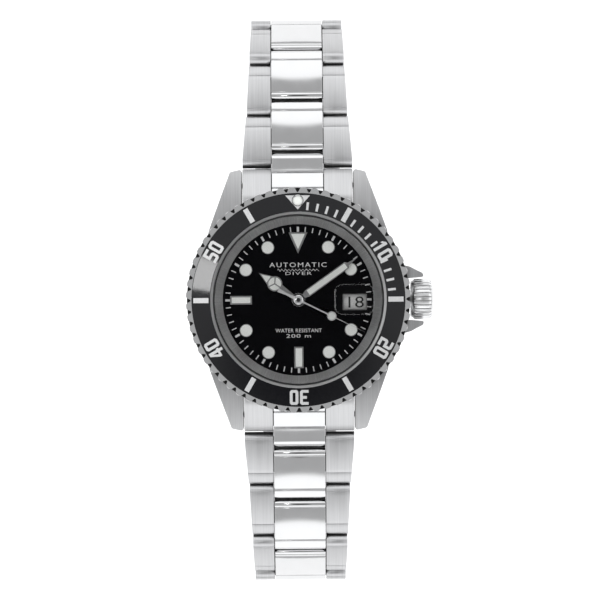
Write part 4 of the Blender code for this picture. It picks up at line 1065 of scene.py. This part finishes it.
# The bottoms of the flutes get painted shade.
repaint(crown, PAINTED_SHADE_AND_PRINT, lambda c, n: abs(n.z) < 0.6 and 3.30 < math.hypot(c.x, c.y) < 3.44 and c.z > 20.9)
hang(put(crown, turn_y=90, z=4.8), "crown", "polished_steel", "crown")
# %% [markdown]
# ## The links
#
# Thirteen links close the bracelet. Each has a polished middle piece with a brushed piece on each side,
# and the middle pieces sit half a step further on, so they bridge the gaps beside them. Seen from the
# side every piece has the same shape: a rounded near end, a fine step, a face that swells slightly, a
# second fine step, and a lip that dips to the next joint. That swell turns flat steel into a soft run
# from grey to white. One blank of each is made and softened, then copied for every link and narrowed.

# %% Side view of a piece, and the two blanks
PITCH, TONGUE = 9.65, 4.6
ARM_IN, ARM_OUT = 4.75, 9.85


def swell(start, stop, height, drop, steps=8):
    """Points along a face that is drop lower at its ends than in the middle."""
    points = []
    for i in range(steps + 1):
        t = i / steps
        points.append((start + (stop - start) * t, height - drop * (2 * t - 1) ** 2))
    return points


def stepped_top(near, far):
    """The lip, step, swelling face, second step and dipping end, from near to far along Y."""
    top = [(near + 1.06, 1.34), (near + 1.13, 1.13), (near + 1.22, 1.25)]
    top += swell(near + 1.30, near + 7.30, 1.40, 0.13)
    return top + [(near + 7.36, 1.14), (near + 7.44, 1.26), (near + 8.3, 1.19), (far - 0.35, 1.03)]


outer_view = arc(0, 0, 1.4, 270, 106, 14) + stepped_top(-1.4, 8.05) + [
    (8.0, 0.72), (8.05, 0.5), (8.05, -1.3), (7.95, -1.4)]
middle_view = [(1.7, -1.4), (1.6, -1.3), (1.6, 0.75), (1.72, 1.08), (1.98, 1.28), (2.3, 1.37)]
middle_view += stepped_top(1.6, 11.05)[:-1] + arc(PITCH, 0, 1.4, 52, -90, 12)

arm_blank = trace("arm_blank", [outer_view], ARM_IN, ARM_OUT, side=True, flat=0.5)
carve(arm_blank, rod("pin_hole", 0, 0, PIN_HOLE_R, 4, 9.0))
carve(arm_blank, rod("screw_seat", 0, 0, 0.86, 9.60, 10.5, 28))
soften(arm_blank, 0.09, 2, 26)
paint(arm_blank, BRUSHED)
# Inner sides, the far end and the pin hole get painted shade.
repaint(arm_blank, PAINTED_SHADE_AND_PRINT, lambda c, n: n.x < -0.7 or (n.y > 0.8 and c.y > 7.9) or math.hypot(c.y, c.z) < 0.69)

middle_blank = trace("middle_blank", [middle_view], -TONGUE, TONGUE, side=True, flat=0.5)
carve(middle_blank, rod("pin_hole", PITCH, 0, PIN_HOLE_R, -6, 6))
soften(middle_blank, 0.09, 2, 26)
paint(middle_blank, POLISHED)
# The sides and the lower near end get painted shade.
repaint(middle_blank, PAINTED_SHADE_AND_PRINT, lambda c, n: abs(n.x) > 0.7 or (n.y < -0.8 and c.z < 0.7))

screw = turn("screw_blank", [(0, 9.80), (0.62, 9.80), (0.76, 9.72), (0.80, 9.55), (0, 9.55)], 36)
slot_cut = trace("screw_slot", [box(-0.11, -1, 0.11, 1)], 9.66, 10.0)
carve(screw, slot_cut)
paint(smooth(put(screw, turn_y=90), 30), POLISHED)
screw = put(screw, turn_x=24)
# The bridge between the pieces is painted dark, as shade seen through the seams.
bridge = trace("bridge_blank", [rounded(4.3, 0, 3.2, 1.7, 0.3, 3)], -5.6, 5.6, side=True)
paint(bridge, PAINTED_SHADE_AND_PRINT)
print("one side piece, one middle, one screw, one bridge")

# %% Thirteen links from the blanks
HALF_WIDTHS = [ARM_OUT - step for step in (0.0, 0.8, 1.3, 1.55, 1.75, 1.85, 1.85, 1.85)]
TILTS = (13.0, 14.0, 49.0, 112.0, 155.0, 175.0, 180.0)


def narrow(piece, side, near, far):
    """Bring the outer face of a side piece in to the link's own taper."""
    for v in piece.data.vertices:
        reach = near + (far - near) * min(max(v.co.y / (PITCH * MM), 0.0), 1.0)
        share = (v.co.x / MM - ARM_IN) / (ARM_OUT - ARM_IN)
        v.co.x = side * (ARM_IN + share * (reach - ARM_IN)) * MM
    if side < 0:
        edit(piece)
        bpy.ops.mesh.flip_normals()
        clear()
    return piece


pins = [FIRST_PIN]
for tilt in TILTS:
    a = math.radians(tilt)
    pins.append((pins[-1][0] + PITCH * math.cos(a), pins[-1][1] - PITCH * math.sin(a)))

for label, count, angle in (("12", 7, 0), ("6", 6, 180)):
    for i in range(count):
        near, far = HALF_WIDTHS[i], HALF_WIDTHS[i + 1]
        parts = [twin(middle_blank), twin(bridge)]
        for side in (1, -1):
            parts.append(narrow(twin(arm_blank), side, near, far))
            parts.append(put(put(twin(screw), turn_z=90 - 90 * side), x=side * (near - ARM_OUT)))
        link = put(unite("link_finished_%s_%d" % (label, i + 1), *parts), turn_x=-TILTS[i])
        y, z = pins[i]
        put(put(link, y=y, z=z), turn_z=angle)
        hang(link, "link_%s_%d" % (label, i + 1), "brushed_steel", "link_%s_%d" % (label, i + 1))
for blank in (arm_blank, middle_blank, screw, bridge):
    bpy.data.objects.remove(blank)
print("the bracelet reaches y %.1f and z %.1f mm" % (max(p[0] for p in pins), min(p[1] for p in pins)))
# %% [markdown]
# ## The folding clasp
#
# A clasp cover is pressed from sheet: a floor with two side walls, which hides two blades that fold flat.
# The outer blade is a fork, and the inner blade lies between its prongs. Each is cut as a plate from
# above or from the side, joined, and softened all over. The cover is brushed along the bracelet with
# polished walls, and carries the shallow lines that a press leaves.

# %% Cover with its walls and hinge ears
CLASP_Y, CLASP_Z, LAST_Y = pins[7][0], pins[7][1], -pins[6][0]
FLOOR_TOP = CLASP_Z - 1.4 - 0.06
FLOOR = FLOOR_TOP - 0.7
BLADE_LOW = FLOOR_TOP + 0.3
BLADE_Z = BLADE_LOW + 0.6
COVER_PIN = LAST_Y + 5.7
FOLD_PIN = CLASP_Y - 6.6
COVER_END = COVER_PIN - 1.4
CATCH_Y, CATCH_Z = COVER_PIN + 7.5, FLOOR - 0.76
THIN_PIN_R, THIN_HOLE_R, BLADE_THICK = 0.38, 0.46, 1.2

sheet = trace("clasp_cover_pressed", [box(-8.0, COVER_END, 8.0, CLASP_Y - 1.7)], FLOOR, FLOOR_TOP)
for x in (-5.6, 5.6):
    line = trace("press_line", [rounded(x, (COVER_END + CLASP_Y) / 2 + 4.5, 0.28, 20.0, 0.13, 4)],
                 FLOOR - 0.3, FLOOR + 0.12)
    carve(sheet, line)
soften(sheet, 0.08, 2, 35)
cover = [paint(sheet, BRUSHED)]
wall_top = FLOOR_TOP + 2.1
for side in (1, -1):
    wall = [(COVER_END, FLOOR + 0.1), (CLASP_Y - 0.3, FLOOR + 0.1), (CLASP_Y, FLOOR + 0.5),
            (CLASP_Y, wall_top - 0.3), (CLASP_Y - 0.5, wall_top)]
    wall += [(-8.0, wall_top)] + arc(COVER_END + 1.4, wall_top - 1.2, 1.2, 90, 180, 8)
    plate = wing("cover_wall", [wall], side, 7.3, 8.0)
    carve(plate, rod("wall_hole", COVER_PIN, BLADE_Z, THIN_HOLE_R, -9, 9))
    cover.append(paint(soften(plate, 0.10, 2, 35), POLISHED))
    ear = [(CLASP_Y - 2.6, FLOOR + 0.05), (CLASP_Y, FLOOR + 0.05)]
    ear += arc(CLASP_Y, CLASP_Z, 1.4, -80, 90, 16) + [(CLASP_Y - 2.6, CLASP_Z + 1.4)]
    lug = wing("cover_ear", [ear], side, 4.75, 7.95)
    carve(lug, rod("ear_hole", CLASP_Y, CLASP_Z, PIN_HOLE_R, -7.16, 7.16))
    cover.append(paint(soften(lug, 0.10, 2, 28), BRUSHED))
    knuckle = arc(CATCH_Y, CATCH_Z, 0.7, 180, 360, 14)
    knuckle += [(CATCH_Y + 0.7, FLOOR + 0.2), (CATCH_Y - 0.7, FLOOR + 0.2)]
    eye = wing("catch_knuckle", [knuckle, circle(CATCH_Y, CATCH_Z, THIN_HOLE_R, 20)], side, 4.3, 5.5)
    cover.append(paint(soften(eye, 0.06, 2, 35), POLISHED))
hang(unite("clasp_cover_pressed", *cover), "clasp_cover", "brushed_steel", "clasp_cover")

# %% The forked outer blade
fork = [(-6.9, COVER_PIN - 0.6), (-3.5, COVER_PIN - 0.6), (-3.5, FOLD_PIN + 0.7), (-3.1, FOLD_PIN + 1.1),
        (3.1, FOLD_PIN + 1.1), (3.5, FOLD_PIN + 0.7), (3.5, COVER_PIN - 0.6), (6.9, COVER_PIN - 0.6),
        (6.9, FOLD_PIN + 1.8), (6.1, FOLD_PIN + 2.6), (-6.1, FOLD_PIN + 2.6), (-6.9, FOLD_PIN + 1.8)]
outer = trace("blade_outer_forked", [fork], BLADE_LOW, BLADE_LOW + BLADE_THICK)
carve(outer, rod("fold_hole", FOLD_PIN, BLADE_Z, THIN_HOLE_R, -5.9, 5.9))
soften(outer, 0.10, 2, 35)
stubs = []
for side in (1, -1):
    stub = wing("cover_stub", [circle(COVER_PIN, BLADE_Z, THIN_PIN_R, 24)], side, 5.9, 7.8)
    stubs.append(paint(soften(stub, 0.05, 1, 40), POLISHED))
hang(unite("blade_outer_forked", paint(outer, BRUSHED), *stubs), "outer_blade",
     "brushed_steel", "clasp_outer_blade")

# %% The inner blade with its two ears
bar_end = LAST_Y + 1.6
plan = rounded(0, (bar_end + 1.6 + FOLD_PIN + 0.5) / 2, 6.4, FOLD_PIN + 0.5 - bar_end - 1.6, 0.4, 5)
tongue = trace("blade_inner", [plan], BLADE_LOW, BLADE_LOW + BLADE_THICK)
for y in (-14.0, -9.0, -4.0):
    carve(tongue, trace("blade_window", [rounded(0, y, 2.6, 3.4, 1.1, 6)], BLADE_LOW - 1, BLADE_LOW + 2))
parts = [paint(soften(tongue, 0.10, 2, 35), BRUSHED)]
bar = trace("ear_bar", [box(bar_end, CLASP_Z - 1.4, bar_end + 2.0, CLASP_Z + 1.4)], -6.9, 6.9, side=True)
parts.append(paint(soften(bar, 0.15, 2, 35), BRUSHED))
for side in (1, -1):
    ear = [(bar_end + 0.4, CLASP_Z - 1.38), (bar_end + 0.4, CLASP_Z + 1.38)]
    ear += arc(LAST_Y, CLASP_Z, 1.38, 90, 270, 16)
    shape = wing("blade_ear", [ear, circle(LAST_Y, CLASP_Z, PIN_HOLE_R, 20)], side, 4.75, 6.85)
    parts.append(paint(soften(shape, 0.10, 2, 28), BRUSHED))
pin = rod("fold_pin", FOLD_PIN, BLADE_Z, THIN_PIN_R, -5.7, 5.7, 24)
parts.append(paint(smooth(pin, 30), POLISHED))
hang(unite("blade_inner_eared", *parts), "inner_blade", "brushed_steel", "clasp_inner_blade")

# %% [markdown]
# ## The safety catch
#
# A small leaf folds over the clasp and is lifted with a fingernail, so its free end curls away a little.
# It turns on a thin pin between two knuckles of the cover. Its side view is drawn once and given width.

# %% Leaf, barrel and pin
low = CATCH_Z - 0.6
leaf_view = [(CATCH_Y, low), (CATCH_Y, low + 0.6), (CATCH_Y - 8.3, low + 0.6), (CATCH_Y - 9.45, low + 0.52),
             (CATCH_Y - 9.6, low + 0.36), (CATCH_Y - 9.6, low + 0.12), (CATCH_Y - 9.45, low)]
leaf = trace("catch_leaf", [leaf_view], -4.2, 4.2, side=True)
carve(leaf, trace("nail_line", [rounded(0, CATCH_Y - 8.7, 5.0, 0.4, 0.18, 4)], low - 0.2, low + 0.15))
parts = [paint(soften(leaf, 0.10, 2, 35), POLISHED)]
barrel = rod("catch_barrel", CATCH_Y, CATCH_Z, 0.58, -4.18, 4.18, 24)
parts.append(paint(smooth(barrel, 30), POLISHED))
pin = rod("catch_pin", CATCH_Y, CATCH_Z, THIN_PIN_R, -5.4, 5.4, 24)
parts.append(paint(smooth(pin, 30), POLISHED))
hang(unite("safety_catch_leaf", *parts), "safety_catch", "polished_steel", "safety_catch")
# %% [markdown]
# ## The end
#
# The last step leaves nothing selected. The finished watch has to fill the same box as the plain
# one, because others will fit things to it.

# %% Finish
clear()
